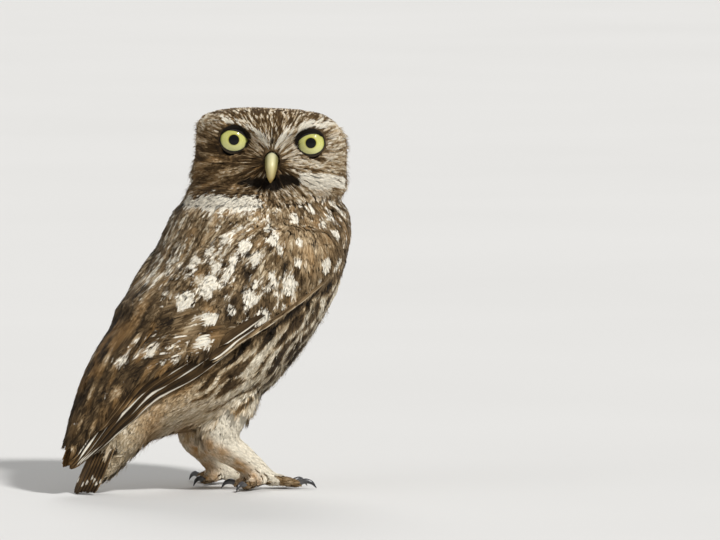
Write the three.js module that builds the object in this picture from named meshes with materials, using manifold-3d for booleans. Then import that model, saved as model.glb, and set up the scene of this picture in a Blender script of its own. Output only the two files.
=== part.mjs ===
// A little owl at life size, standing upright and looking back over its right wing.
// Millimetres. The bird heads along +X, its left side is +Y, and +Z is up.
import * as THREE from "three";
import { LoftGeometry } from "three/addons/geometries/LoftGeometry.js";
import { mergeVertices } from "three/addons/utils/BufferGeometryUtils.js";
import Module from "manifold-3d";

const wasm = await Module();
wasm.setup();

const gap = 0.3; // clearance between neighbouring pieces
const degree = Math.PI / 180;
const left = 1;
const right = -1;

// The head
const headCentre = { x: 23.8, y: 0, z: 166 };
const headTurn = -118;
const headNod = 3;
const headTilt = -2.4;
const headHalfWidth = 39;
const headHalfDepth = 29.5;
const crownRise = 25.5;
const chinDrop = 35;
const headRoundness = { level: 2.7, crown: 3.5, chin: 2.5 };

// The eyes, in the head's own frame: x towards the face, y to the bird's left
const eyeLevel = 7.2;
const eyeSpacing = 38.4;
const eyeballRadius = 9.4;
const eyeballDepth = 17.6;
const lidRadius = 8;
const lidThickness = 1.05;
const lidLowering = 0.66;
const discRadius = 17;
const discHollow = 3.4;

// The bill
const billLength = 15;
const billHalfWidth = 3.4;
const nostrilRadius = 0.7;

// The trunk, from the vent to inside the head: centre, half width and half depth
const trunkStations = [
  { x: -75, z: 9, wide: 5, deep: 3 },
  { x: -66, z: 21, wide: 11, deep: 8 },
  { x: -57, z: 35, wide: 18, deep: 15 },
  { x: -46, z: 48, wide: 29, deep: 25 },
  { x: -31, z: 61, wide: 38, deep: 36 },
  { x: -13, z: 79, wide: 43.5, deep: 42 },
  { x: 2.5, z: 98, wide: 46, deep: 44.5 },
  { x: 13, z: 117, wide: 47, deep: 46.5 },
  { x: 18.5, z: 132, wide: 43.5, deep: 44.5 },
  { x: 21.5, z: 146, wide: 33, deep: 39 },
  { x: 23, z: 158, wide: 20, deep: 25 },
];
const neckBottom = { x: 15, z: 128, lean: 18 };
const neckTop = 147;

// A folded wing wraps a curve beside the spine: centre, half width and half depth of
// that curve, and the angles from the spine of the wing's top and bottom edges
const wingStations = [
  { x: 18.5, z: 134, wide: 45, deep: 46, top: 84, bottom: 106 },
  { x: 15, z: 122, wide: 49.5, deep: 49, top: 58, bottom: 128 },
  { x: 2.5, z: 100, wide: 48.5, deep: 46, top: 30, bottom: 116 },
  { x: -15, z: 80, wide: 45.5, deep: 43.5, top: 18, bottom: 100 },
  { x: -35, z: 62, wide: 38, deep: 37, top: 14, bottom: 87 },
  { x: -55, z: 50.3, wide: 26, deep: 25, top: 13, bottom: 80 },
  { x: -70.6, z: 36.7, wide: 16, deep: 16, top: 14, bottom: 88 },
  { x: -85.5, z: 20, wide: 7, deep: 6, top: 18, bottom: 110 },
  { x: -91.5, z: 11.5, wide: 4, deep: 3.6, top: 22, bottom: 125 },
];
const wingThickness = 4;

// The tail
const tailRoot = { x: -49, z: 50, halfWidth: 9, thickness: 6 };
const tailTip = { x: -85, z: 0, halfWidth: 12.5, thickness: 5 };

// The wing's feathers by tier. Each tier runs from the feather nearest the spine to the one
// at the wing's lower edge: its roots and tips as shares of the wing's length, and as
// shares of the way down the wing, then the half width, the thickness at both ends,
// how high they stand,
// how much higher each one's lower edge is, and how far each one lies under the last.
const wingTiers = [
  {
    name: "primaries",
    count: 6,
    roots: [0.6, 0.52],
    tips: [0.87, 0.93, 0.99, 0.98, 0.93, 0.87],
    rootDown: [0.6, 0.93],
    tipDown: [0.22, 0.9],
    halfWidth: 3.3,
    thickness: [1.4, 0.8],
    rise: [-0.5, 0.3],
    tilt: 0,
    step: 0.26,
    outline: "flight",
  },
  {
    name: "secondaries",
    count: 5,
    roots: [0.44, 0.42],
    tips: [0.83, 0.7],
    rootDown: [0.3, 0.86],
    tipDown: [0.3, 0.8],
    halfWidth: 5,
    thickness: [1.8, 0.8],
    rise: [-0.2, 1.1],
    tilt: 0,
    step: 0.24,
    outline: "flight",
  },
  {
    name: "tertials",
    count: 2,
    roots: [0.44, 0.44],
    tips: [0.77, 0.8],
    rootDown: [0.1, 0.24],
    tipDown: [0.12, 0.26],
    halfWidth: 5,
    thickness: [2.4, 0.9],
    rise: [0, 1.6],
    tilt: 0,
    step: 0.3,
    outline: "flight",
  },
  {
    name: "greater coverts",
    count: 5,
    roots: [0.3, 0.29],
    tips: [0.51, 0.46],
    rootDown: [0.26, 0.9],
    tipDown: [0.24, 0.89],
    halfWidth: 6.8,
    thickness: [1.4, 2],
    rise: [-0.9, 1.3],
    tilt: 0.45,
    step: 0,
    outline: "cover",
  },
  {
    name: "median coverts",
    count: 5,
    roots: [0.18, 0.17],
    tips: [0.35, 0.33],
    rootDown: [0.3, 0.9],
    tipDown: [0.26, 0.9],
    halfWidth: 7,
    thickness: [1.4, 2],
    rise: [-0.9, 1.3],
    tilt: 0.45,
    step: 0,
    outline: "cover",
  },
  {
    name: "lesser coverts",
    count: 4,
    roots: [0.06, 0.06],
    tips: [0.22, 0.21],
    rootDown: [0.36, 0.86],
    tipDown: [0.3, 0.87],
    halfWidth: 7.2,
    thickness: [1.4, 2],
    rise: [-0.9, 1.2],
    tilt: 0.45,
    step: 0,
    outline: "cover",
  },
  {
    name: "scapulars",
    count: 4,
    roots: [0.08, 0.2, 0.32, 0.44],
    tips: [0.27, 0.38, 0.49, 0.61],
    rootDown: [0.13, 0.12],
    tipDown: [0.18, 0.17],
    halfWidth: 6.5,
    thickness: [1.2, 2.3],
    rise: [-0.7, 1.7],
    tilt: 0.45,
    step: 0,
    outline: "cover",
  },
];
const featherWander = 0.007; // how far tips stray, as a share of the wing's length
const coreEnd = 0.8;
const coreSunk = 0.5;

// A blade's width at shares of its length
const outlines = {
  flight: [
    [0, 0.7],
    [0.5, 1],
    [0.88, 0.86],
    [1, 0.3],
  ],
  cover: [
    [0, 0.7],
    [0.5, 1],
    [0.84, 0.84],
    [1, 0.3],
  ],
};

// The tail's feathers, from the middle pair on top to the outermost pair below
const tailPairs = 6;
const rectrixHalfWidth = 3;
const rectrixThickness = [0.9, 0.8];
const rectrixStep = 0.5;

// The legs, as they stand: the heel behind the ball of the foot
const legStance = {
  [left]: { kneeX: -8, heelX: -12.5, ballX: 4 },
  [right]: { kneeX: -8, heelX: -17, ballX: 9.5 },
};
const kneeHeight = 50;
const heelHeight = 25.5;
const kneeOut = 17;
const heelOut = 16;
const ballOut = 17;
const ballHeight = 7.5;
const thighRadius = { knee: 14.5, heel: 10.2 };
const shankRadius = { heel: 9.8, ball: 6 };

// The toes: heading from the beak's way round, length beyond the ball, and claw length
const toes = {
  [left]: {
    inner: { heading: -16, length: 13, claw: 8.5 },
    middle: { heading: 14, length: 15, claw: 9 },
    outer: { heading: 102, length: 13, claw: 8.5 },
    hind: { heading: -160, length: 9, claw: 7.5 },
  },
  [right]: {
    inner: { heading: 3, length: 13, claw: 8.5 },
    middle: { heading: -29, length: 13.5, claw: 9 },
    outer: { heading: -148, length: 13, claw: 8.5 },
    hind: { heading: 158, length: 9, claw: 7.5 },
  },
};
const toeRadius = { ball: 4.2, knuckle: 3.5, tip: 2.7 };
const clawRadius = 1.35;

// Colours, roughness and metalness of each finish
const finishes = {
  crown: { color: 0x5a4433, roughness: 0.85 },
  mantle: { color: 0x6b523c, roughness: 0.85 },
  breast: { color: 0xa08a6c, roughness: 0.9 },
  wing: { color: 0x5e4733, roughness: 0.8 },
  tail: { color: 0x4a382b, roughness: 0.8 },
  legDown: { color: 0xd8cbb2, roughness: 0.95 },
  toeBristle: { color: 0xb9a37c, roughness: 0.9 },
  claw: { color: 0x1c1a1b, roughness: 0.3 },
  bill: { color: 0xb8ad5c, roughness: 0.4 },
  iris: { color: 0xd9d84a, roughness: 0.08 },
};

function vec(x, y, z) {
  return new THREE.Vector3(x, y, z);
}

function mix(a, b, share) {
  return a + (b - a) * share;
}

// 1 at the centre of a soft bump of the given width, falling to 0 away from it.
function bump(distance, width) {
  return Math.exp(-((distance / width) ** 2));
}

// A closed geometry as a manifold solid that faces out.
function solidOf(geometry) {
  const bare = new THREE.BufferGeometry().copy(geometry);
  bare.deleteAttribute("normal");
  bare.deleteAttribute("uv");
  const merged = mergeVertices(bare, 1e-4);
  const corners = [];
  for (let i = 0; i < merged.index.count; i += 3) {
    const [a, b, c] = merged.index.array.slice(i, i + 3);
    if (a !== b && b !== c && c !== a) corners.push(a, b, c);
  }
  const triVerts = new Uint32Array(corners);
  const vertProperties = merged.attributes.position.array;
  const make = () => new wasm.Manifold(new wasm.Mesh({ numProp: 3, vertProperties, triVerts }));
  const made = make();
  if (made.volume() > 0) return made;
  for (let i = 0; i < triVerts.length; i += 3) {
    [triVerts[i + 1], triVerts[i + 2]] = [triVerts[i + 2], triVerts[i + 1]];
  }
  return make();
}

// The largest closed surface of a solid, as a geometry.
function geometryOf(solid) {
  const largest = solid.decompose().reduce((a, b) => (b.volume() > a.volume() ? b : a));
  const mesh = largest.getMesh();
  const geometry = new THREE.BufferGeometry();
  geometry.setAttribute("position", new THREE.BufferAttribute(mesh.vertProperties, 3));
  geometry.setIndex(new THREE.BufferAttribute(mesh.triVerts, 1));
  geometry.computeVertexNormals();
  return geometry;
}

function centroid(points) {
  return points.reduce((sum, point) => sum.add(point), vec()).divideScalar(points.length);
}

// A capped solid through sections, whichever way round they run.
function loft(sections) {
  const half = Math.floor(sections.length / 2);
  const section = sections[half];
  const centre = centroid(section);
  const forward = centre.clone().sub(centroid(sections[half - 1]));
  const spin = vec();
  section.forEach((point, i) => {
    const next = section[(i + 1) % section.length];
    spin.add(point.clone().sub(centre).cross(next.clone().sub(centre)));
  });
  const facing = spin.dot(forward) > 0 ? sections : sections.map((s) => [...s].reverse());
  return solidOf(new LoftGeometry(facing, { capStart: true, capEnd: true }));
}

// Seeded draws from -1 to 1, the same at every build.
function strayFrom(seed) {
  let state = seed;
  return () => {
    state = (state * 1103515245 + 12345) % 2147483648;
    return (state / 2147483648) * 2 - 1;
  };
}

// A value along a list, read between its entries at a share from 0 to 1.
function along(list, share) {
  const place = share * (list.length - 1);
  const low = Math.min(Math.floor(place), list.length - 2);
  return mix(list[low], list[low + 1], place - low);
}

// A blade split alike on both faces. placeAt gives the place at a share of its length, at
// a distance from its middle line and at a height over its upper face.
function bladeForm(outline, halfWidth, thickness, placeAt) {
  const spots = [];
  const corners = [];
  outline.forEach(([share, width], row) => {
    const across = halfWidth * width;
    spots.push(placeAt(share, -across, 0), placeAt(share, across, 0));
    const deep = -mix(thickness[0], thickness[1], share);
    spots.push(placeAt(share, -across, deep), placeAt(share, across, deep));
    if (row === 0) return;
    const p = (row - 1) * 4;
    const q = row * 4;
    corners.push(p, p + 1, q, p + 1, q + 1, q);
    corners.push(p + 2, q + 2, p + 3, p + 3, q + 2, q + 3);
    corners.push(p, q, p + 2, q, q + 2, p + 2);
    corners.push(p + 1, p + 3, q + 1, p + 3, q + 3, q + 1);
  });
  const end = (outline.length - 1) * 4;
  corners.push(0, 2, 1, 1, 2, 3, end, end + 1, end + 2, end + 1, end + 3, end + 2);
  const geometry = new THREE.BufferGeometry().setFromPoints(spots);
  geometry.setIndex(corners);
  return solidOf(geometry);
}

// A smooth run through numbered stations, read at a share from 0 to 1 of the way along.
class Run {
  constructor(stations, keys) {
    this.keys = keys;
    this.curves = keys.map(
      (key) => new THREE.CatmullRomCurve3(stations.map((s) => vec(s[key], 0, 0))),
    );
    this.curves.forEach((curve) => (curve.curveType = "catmullrom"));
  }

  at(share) {
    const values = this.curves.map((curve) => curve.getPoint(share).x);
    return Object.fromEntries(this.keys.map((key, i) => [key, values[i]]));
  }

  // A point at an angle round the run from the bird's spine, and at a height off it.
  around(share, angle, height) {
    const here = this.at(share);
    const step = 0.004;
    const before = this.at(Math.max(0, share - step));
    const after = this.at(Math.min(1, share + step));
    const along = vec(after.x - before.x, 0, after.z - before.z).normalize();
    if (after.z < before.z) along.negate();
    const up = vec(-along.z, 0, along.x);
    const across = Math.sin(angle) * (here.wide + height);
    const dorsal = Math.cos(angle) * (here.deep + height);
    return vec(here.x, across, here.z).addScaledVector(up, dorsal);
  }
}

const trunkRun = new Run(trunkStations, ["x", "z", "wide", "deep"]);
const wingRun = new Run(wingStations, ["x", "z", "wide", "deep", "top", "bottom"]);

// Trunk and neck as one form, larger all round by grow.
function trunkForm(grow) {
  const rows = 16;
  const columns = 24;
  const sections = [];
  for (let i = 0; i <= rows; i++) {
    const section = [];
    for (let j = 0; j < columns; j++) {
      section.push(trunkRun.around(i / rows, (j / columns) * 2 * Math.PI, grow));
    }
    sections.push(section);
  }
  return loft(sections);
}

// Splits each quad of a ball's grid along its shorter diagonal.
function splitShorter(geometry, columns, rows) {
  const places = geometry.attributes.position;
  const at = (row, column) => row * (columns + 1) + column;
  const apart = (i, j) => {
    const from = vec().fromBufferAttribute(places, i);
    return from.distanceTo(vec().fromBufferAttribute(places, j));
  };
  const corners = [];
  for (let row = 0; row < rows; row++) {
    for (let column = 0; column < columns; column++) {
      const a = at(row, column + 1);
      const b = at(row, column);
      const c = at(row + 1, column);
      const d = at(row + 1, column + 1);
      if (row === 0) corners.push(b, c, d);
      else if (row === rows - 1) corners.push(a, b, d);
      else if (apart(a, c) < apart(b, d)) corners.push(a, b, c, a, c, d);
      else corners.push(a, b, d, b, c, d);
    }
  }
  geometry.setIndex(corners);
}

const headFrame = new THREE.Matrix4().compose(
  vec(headCentre.x, headCentre.y, headCentre.z),
  new THREE.Quaternion().setFromEuler(
    new THREE.Euler(headTilt * degree, -headNod * degree, headTurn * degree, "ZYX"),
  ),
  vec(1, 1, 1),
);

// How far the face stands forward of the plain head at a place on it.
function faceRelief(y, z) {
  const eyeSide = Math.abs(y) - eyeSpacing / 2;
  const toEye = Math.hypot(eyeSide, z - eyeLevel);
  const hollow = -discHollow * Math.exp(-((toEye / (0.68 * discRadius)) ** 3));
  const rim = 1.2 * bump(toEye - discRadius, 4) * (z > eyeLevel ? 0.4 : 1);
  const browLine = eyeLevel + 0.5 + 8.5 * Math.tanh(Math.abs(y) / 14);
  const browEnd = THREE.MathUtils.smoothstep(Math.abs(y), 30, 37);
  const brow = 2.8 * bump(z - browLine, 4.2) * (1 - browEnd);
  const lores = 2 * bump(y, 6.5) * bump(z + 2, 10);
  const frown = -0.8 * bump(y, 3) * bump(z - eyeLevel - 8, 5);
  return hollow + rim + brow + lores + frown;
}

// The head in its own frame, larger all round by grow.
function headForm(grow) {
  const columns = 36;
  const rows = 25;
  const geometry = new THREE.SphereGeometry(1, columns, rows);
  const places = geometry.attributes.position;
  for (let i = 0; i < places.count; i++) {
    const ball = vec().fromBufferAttribute(places, i);
    const even = Math.acos(THREE.MathUtils.clamp(ball.y, -1, 1)) / Math.PI;
    const polar = Math.PI * even * (0.55 + 0.45 * even);
    const turn = Math.atan2(ball.z, ball.x);
    const facing = Math.cos(polar);
    const aside = Math.sin(polar) * Math.cos(turn);
    const rise = Math.sin(polar) * Math.sin(turn);
    const { level, crown, chin } = headRoundness;
    const upright = rise > 0 ? crown : chin;
    const flat =
      (Math.abs(facing / headHalfDepth) ** level + Math.abs(aside / headHalfWidth) ** level) **
      (upright / level);
    const tall = Math.abs(rise / (rise > 0 ? crownRise : chinDrop)) ** upright;
    const reach = (flat + tall) ** (-1 / upright) + grow;
    const place = vec(facing * reach, aside * reach, rise * reach);
    const front = THREE.MathUtils.smoothstep(facing, 0.05, 0.45);
    place.x += front * faceRelief(place.y, place.z);
    places.setXYZ(i, place.x, place.y, place.z);
  }
  splitShorter(geometry, columns, rows);
  return solidOf(geometry.applyMatrix4(headFrame));
}

function eyeCentre(side) {
  return vec(eyeballDepth, (side * eyeSpacing) / 2, eyeLevel);
}

function eyeForm(side, grow) {
  const geometry = new THREE.SphereGeometry(eyeballRadius + grow, 18, 9);
  const centre = eyeCentre(side);
  geometry.rotateZ(-Math.PI / 2).translate(centre.x, centre.y, centre.z);
  return solidOf(geometry.applyMatrix4(headFrame));
}

// The ring of lid round an eye lies on the ball, its upper half lowered by the brow.
function lidForm(side) {
  const geometry = new THREE.TorusGeometry(lidRadius, lidThickness, 5, 20);
  geometry.rotateY(Math.PI / 2);
  const places = geometry.attributes.position;
  const centre = eyeCentre(side);
  for (let i = 0; i < places.count; i++) {
    const spot = vec().fromBufferAttribute(places, i);
    if (spot.z > 0) spot.z *= lidLowering;
    const ring = Math.min(lidRadius, Math.hypot(spot.y, spot.z));
    const onBall = Math.sqrt(eyeballRadius ** 2 - ring ** 2);
    places.setXYZ(i, centre.x + onBall + spot.x * 1.2, centre.y + spot.y, centre.z + spot.z);
  }
  return solidOf(geometry.applyMatrix4(headFrame));
}

// A tube through places in the head's frame or the bird's, with a radius at each place.
function tubeForm(places, radii, sides, frame) {
  const path = new THREE.CatmullRomCurve3(places, false, "centripetal");
  const rows = Math.round((places.length - 1) * 1.5);
  const sections = [];
  const level = vec(0, 0, 1).cross(path.getTangent(0));
  for (let i = 0; i <= rows; i++) {
    const share = i / rows;
    const centre = path.getPoint(share);
    const along = path.getTangent(share);
    level.addScaledVector(along, -level.dot(along)).normalize();
    const upright = along.clone().cross(level);
    const place = share * (radii.length - 1);
    const low = Math.min(Math.floor(place), radii.length - 2);
    const radius = mix(radii[low], radii[low + 1], place - low);
    const section = [];
    for (let j = 0; j < sides; j++) {
      const angle = (j / sides) * 2 * Math.PI;
      const spot = centre.clone();
      spot.addScaledVector(level, Math.cos(angle) * radius);
      spot.addScaledVector(upright, Math.sin(angle) * radius);
      section.push(frame ? spot.applyMatrix4(frame) : spot);
    }
    sections.push(section);
  }
  return loft(sections);
}

// The upper bill hooks forward and down from between the eyes.
function billUpperForm(grow) {
  const base = headHalfDepth - 3;
  const places = [
    vec(base, 0, -1),
    vec(base + 5.5, 0, -2.2),
    vec(base + 9.2, 0, -6.5),
    vec(base + 9.6, 0, -11.5),
    vec(base + 8, 0, 0.5 - billLength),
  ];
  const wide = billHalfWidth + grow;
  const radii = [wide, wide, wide * 0.86, wide * 0.55, 0.35 + grow];
  return tubeForm(places, radii, 12, headFrame);
}

// The lower bill is short and closes up behind the hook.
function billLowerForm(grow) {
  const base = headHalfDepth - 3;
  const places = [
    vec(base - 1, 0, -9.4),
    vec(base + 3, 0, -10.4),
    vec(base + 6.2, 0, -12.4),
  ];
  const radii = [2.6 + grow, 2.3 + grow, 0.7 + grow];
  return tubeForm(places, radii, 10, headFrame);
}

// The corners of the mouth run back from the bill along a shallow groove.
function mouthForm() {
  const places = [-1, -0.5, 0, 0.5, 1].map((across) => {
    const back = headHalfDepth + 0.4 - 2.2 * across ** 2;
    return vec(back, across * 8.5, -10.2 - 2.4 * across ** 2);
  });
  return tubeForm(places, [0.3, 0.9, 0.9, 0.9, 0.3], 6, headFrame);
}

function nostrilForm(side) {
  const geometry = new THREE.SphereGeometry(nostrilRadius, 8, 6);
  geometry.scale(1.2, 1, 1.2).translate(headHalfDepth + 4.2, side * 2.7, -1.9);
  return solidOf(geometry.applyMatrix4(headFrame));
}

// A place on the folded wing: a share of the way to its tip, a share of the way from its
// top edge to its bottom edge, and a height off its outer face.
function wingPoint(side, share, down, height) {
  const { top, bottom } = wingRun.at(share);
  const angle = mix(top, bottom, down) * degree;
  return wingRun.around(share, side * angle, height);
}

// The shares of the wing's length at which its shell is drawn, closer at both ends.
const shellColumns = 8;
const shellRows = 14;
const shellShares = Array.from({ length: shellRows + 1 }, (_, i) => {
  const even = i / shellRows;
  return mix(even, 0.5 - 0.5 * Math.cos(Math.PI * even), 0.7);
});

// The wing's shell through some of those shares, larger all round by grow and with its
// outer face raised by proud.
function wingShell(side, shares, columns, thickness, grow, proud) {
  const edge = (down) => Math.abs(2 * down - 1) ** 5;
  const sections = shares.map((share) => {
    const { top, bottom, wide } = wingRun.at(share);
    const spread = grow / (wide * (bottom - top) * degree);
    const here = mix(thickness, 2.8, THREE.MathUtils.smoothstep(share, 0.55, 1));
    const section = [];
    for (let j = 0; j <= columns; j++) {
      const down = j / columns;
      const height = -0.35 * here * edge(down) + grow + proud;
      section.push(wingPoint(side, share, mix(-spread, 1 + spread, down), height));
    }
    for (let j = columns; j >= 0; j--) {
      const down = j / columns;
      const height = -here * mix(1, 0.65, edge(down)) - grow;
      section.push(wingPoint(side, share, mix(-spread, 1 + spread, down), height));
    }
    return section;
  });
  return loft(sections);
}

// One tier of the wing's feathers, as solids.
function tierForms(side, tier, stray) {
  const forms = [];
  for (let i = 0; i < tier.count; i++) {
    const order = i / (tier.count - 1);
    const root = along(tier.roots, order);
    const tip = along(tier.tips, order) + stray() * featherWander;
    const rootDown = along(tier.rootDown, order);
    const tipDown = along(tier.tipDown, order) + stray() * featherWander;
    const placeAt = (share, across, lift) => {
      const here = mix(root, tip, share);
      const { top, bottom, wide } = wingRun.at(here);
      const breadth = wide * (bottom - top) * degree;
      const middle = mix(rootDown, tipDown, share) + across / breadth;
      const down = THREE.MathUtils.clamp(middle, 0.01, 0.99);
      const slope = (tier.tilt * across) / tier.halfWidth - tier.step * i;
      return wingPoint(side, here, down, mix(...tier.rise, share) + slope + lift);
    };
    const outline = outlines[tier.outline];
    forms.push(bladeForm(outline, tier.halfWidth, tier.thickness, placeAt));
  }
  return forms;
}

// The whole wing: a thin core under all its feathers, kept inside the wing's own room.
function wingForm(side) {
  const stray = strayFrom(side === left ? 31 : 47);
  const inner = shellShares.filter((share, i) => i > 0 && share < coreEnd - 0.03);
  const core = wingShell(side, [...inner, coreEnd], 6, wingThickness - 1, 0, -coreSunk);
  const feathers = wingTiers.flatMap((tier) => tierForms(side, tier, stray));
  const room = wingShell(side, shellShares.slice(1), shellColumns, wingThickness, 0, 12);
  return wasm.Manifold.union([core, ...feathers]).intersect(room);
}

// The tail's core ends short of the feathers' tips.
const tailCoreEnd = 0.8;
const tailAlong = vec(tailTip.x - tailRoot.x, 0, tailTip.z - tailRoot.z).normalize();
const tailUp = vec(tailAlong.z, 0, -tailAlong.x);
const coreLimit = -mix(
  vec(tailRoot.x, 0, tailRoot.z).dot(tailAlong),
  vec(tailTip.x, 0, tailTip.z).dot(tailAlong),
  tailCoreEnd,
);

// The tail feathers of one side, laid like a closed fan.
function rectrixForms(side, stray) {
  const forms = [];
  const root = vec(tailRoot.x, 0, tailRoot.z);
  const tip = vec(tailTip.x, 0, tailTip.z);
  for (let pair = 0; pair < tailPairs; pair++) {
    const spread = (pair + 0.5) / tailPairs;
    const reach = 1 - 0.012 * pair + 0.01 * stray();
    const placeAt = (share, across, lift) => {
      const here = mix(0.3, reach, share);
      const fan = mix(tailRoot.halfWidth, tailTip.halfWidth, here) - rectrixHalfWidth;
      const out = spread * fan + across;
      const height = 1.4 - rectrixStep * pair + (0.2 * across) / rectrixHalfWidth + lift;
      const spot = root.clone().lerp(tip, here).addScaledVector(tailUp, height);
      spot.y = side * out;
      return spot;
    };
    forms.push(bladeForm(outlines.flight, rectrixHalfWidth, rectrixThickness, placeAt));
  }
  return forms;
}

function tailForm(grow, thin = 0) {
  const root = vec(tailRoot.x, 0, tailRoot.z);
  const tip = vec(tailTip.x, 0, tailTip.z);
  const along = tailAlong;
  const up = tailUp;
  const rows = 6;
  const corners = 12;
  const sections = [];
  for (let i = 0; i <= rows; i++) {
    const share = i / rows;
    const centre = root.clone().lerp(tip, share);
    if (i === 0) centre.addScaledVector(along, -grow);
    if (i === rows) centre.addScaledVector(along, grow + 1);
    const halfWidth = mix(tailRoot.halfWidth, tailTip.halfWidth, Math.sqrt(share)) + grow;
    const halfThick = mix(tailRoot.thickness, tailTip.thickness, share) / 2 + grow - thin;
    const section = [];
    for (let j = 0; j < corners; j++) {
      const angle = (j / corners) * 2 * Math.PI;
      const across = Math.sign(Math.cos(angle)) * Math.abs(Math.cos(angle)) ** 0.7;
      const arch = -2.2 * share * across ** 2;
      const spot = centre.clone().addScaledVector(up, Math.sin(angle) * halfThick + arch);
      spot.y += across * halfWidth;
      section.push(spot);
    }
    sections.push(section);
  }
  return loft(sections);
}

function legPlaces(side) {
  const { kneeX, heelX, ballX } = legStance[side];
  return {
    knee: vec(kneeX, side * kneeOut, kneeHeight),
    heel: vec(heelX, side * heelOut, heelHeight),
    ball: vec(ballX, side * ballOut, ballHeight),
  };
}

function thighForm(side, grow) {
  const { knee, heel } = legPlaces(side);
  const along = heel.clone().sub(knee).normalize();
  const start = knee.clone().addScaledVector(along, -6);
  const middle = knee.clone().lerp(heel, 0.55).add(vec(1, 0, 0.5));
  const low = heel.clone().addScaledVector(along, 5).add(vec(1, 0, 1));
  const { knee: broad, heel: narrow } = thighRadius;
  const radii = [broad * 0.8, broad, mix(broad, narrow, 0.45), narrow, narrow * 0.6];
  return tubeForm([start, knee, middle, heel, low], radii.map((r) => r + grow), 14);
}

function shankForm(side, grow) {
  const { heel, ball } = legPlaces(side);
  const start = heel.clone().add(vec(-4.5, 0, 2));
  const end = ball.clone().add(vec(4.5, 0, -1.6));
  const middle = heel.clone().lerp(ball, 0.5).add(vec(0, 0, 1));
  const { heel: broad, ball: narrow } = shankRadius;
  const radii = [broad * 0.72, broad, mix(broad, narrow, 0.5), narrow, narrow * 0.72];
  return tubeForm([start, heel, middle, ball, end], radii.map((r) => r + grow), 14);
}

function toeWay(side, name) {
  const { heading } = toes[side][name];
  return vec(Math.cos(heading * degree), Math.sin(heading * degree), 0);
}

function toeForm(side, name, grow) {
  const { ball } = legPlaces(side);
  const way = toeWay(side, name);
  const { length } = toes[side][name];
  const reach = shankRadius.ball + length;
  const place = (share, height) => {
    return vec(ball.x, ball.y, height).addScaledVector(way, reach * share);
  };
  const places = [
    place(0.12, 5),
    place(0.5, 4.4),
    place(0.84, 3),
    place(1.02, 2.5),
  ];
  const { ball: thick, knuckle, tip } = toeRadius;
  const radii = [thick, knuckle, tip * 1.12, tip * 0.66].map((r) => r + grow);
  return tubeForm(places, radii, 7);
}

function clawForm(side, name, grow) {
  const { ball } = legPlaces(side);
  const way = toeWay(side, name);
  const { length, claw } = toes[side][name];
  const start = shankRadius.ball + length - 1.6;
  const place = (forward, height) => {
    return vec(ball.x, ball.y, height).addScaledVector(way, start + forward);
  };
  const places = [
    place(0, 3.3),
    place(claw * 0.38, 4.3),
    place(claw * 0.74, 3.4),
    place(claw, 0.75),
  ];
  const radii = [clawRadius, clawRadius, clawRadius * 0.68, 0.22].map((r) => r + grow);
  return tubeForm(places, radii, 6);
}

const floorNormal = [0, 0, 1];

function aboveFloor(solid) {
  return solid.trimByPlane(floorNormal, 0);
}

// Flesh: one whole form, parted by thin cuts
const sides = [left, right];
const toeNames = Object.keys(toes[left]);
let whole = trunkForm(0).add(headForm(0));
sides.forEach((side) => {
  whole = whole.subtract(wingShell(side, shellShares, shellColumns, wingThickness, gap, 12));
});
whole = whole.subtract(tailForm(gap));

const lean = neckBottom.lean * degree;
const neckNormal = [Math.sin(lean), 0, Math.cos(lean)];
const neckOffset = neckBottom.x * neckNormal[0] + neckBottom.z * neckNormal[2];
const reverse = (normal) => normal.map((n) => -n);
const aboveNeck = whole.trimByPlane(neckNormal, neckOffset + gap / 2);
const torsoSolid = whole.trimByPlane(reverse(neckNormal), -neckOffset + gap / 2);
const neckSolid = aboveNeck.trimByPlane(reverse(floorNormal), -neckTop + gap / 2);
let headSolid = aboveNeck.trimByPlane(floorNormal, neckTop + gap / 2);
sides.forEach((side) => {
  headSolid = headSolid.add(lidForm(side));
});
sides.forEach((side) => {
  headSolid = headSolid.subtract(eyeForm(side, gap));
});
headSolid = headSolid.subtract(billUpperForm(gap)).subtract(billLowerForm(gap));
headSolid = headSolid.subtract(mouthForm());

const owl = new THREE.Group();

function place(name, solid, finish) {
  const material = new THREE.MeshStandardMaterial(finishes[finish]);
  const mesh = new THREE.Mesh(geometryOf(solid), material);
  mesh.name = name;
  owl.add(mesh);
}

place("torso", aboveFloor(torsoSolid), "breast");
place("neck", neckSolid, "mantle");
place("head", headSolid, "crown");
const billUpper = billUpperForm(0).subtract(nostrilForm(left)).subtract(nostrilForm(right));
place("bill_upper", billUpper, "bill");
place("bill_lower", billLowerForm(0).subtract(billUpperForm(gap)), "bill");
const tailStray = strayFrom(59);
const rectrices = sides.flatMap((side) => rectrixForms(side, tailStray));
const tailCore = tailForm(-0.6, 1).trimByPlane(tailAlong.clone().negate().toArray(), coreLimit);
const tailSolid = wasm.Manifold.union([tailCore, ...rectrices]).intersect(tailForm(0));
place("tail", aboveFloor(tailSolid), "tail");

sides.forEach((side) => {
  const word = side === left ? "left" : "right";
  place(`eye_${word}`, eyeForm(side, 0), "iris");
  place(`wing_${word}`, wingForm(side), "wing");
  const trunk = trunkForm(gap);
  const thigh = thighForm(side, 0).subtract(trunk);
  place(`thigh_${word}`, thigh, "breast");
  const shank = shankForm(side, 0).subtract(thighForm(side, gap)).subtract(trunk);
  place(`shank_${word}`, aboveFloor(shank), "legDown");
  let taken = shankForm(side, gap);
  toeNames.forEach((name) => {
    const toe = aboveFloor(toeForm(side, name, 0).subtract(taken));
    place(`toe_${word}_${name}`, toe, "toeBristle");
    const claw = clawForm(side, name, 0).subtract(toeForm(side, name, gap));
    place(`claw_${word}_${name}`, aboveFloor(claw), "claw");
    taken = taken.add(toeForm(side, name, gap));
  });
});

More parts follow.
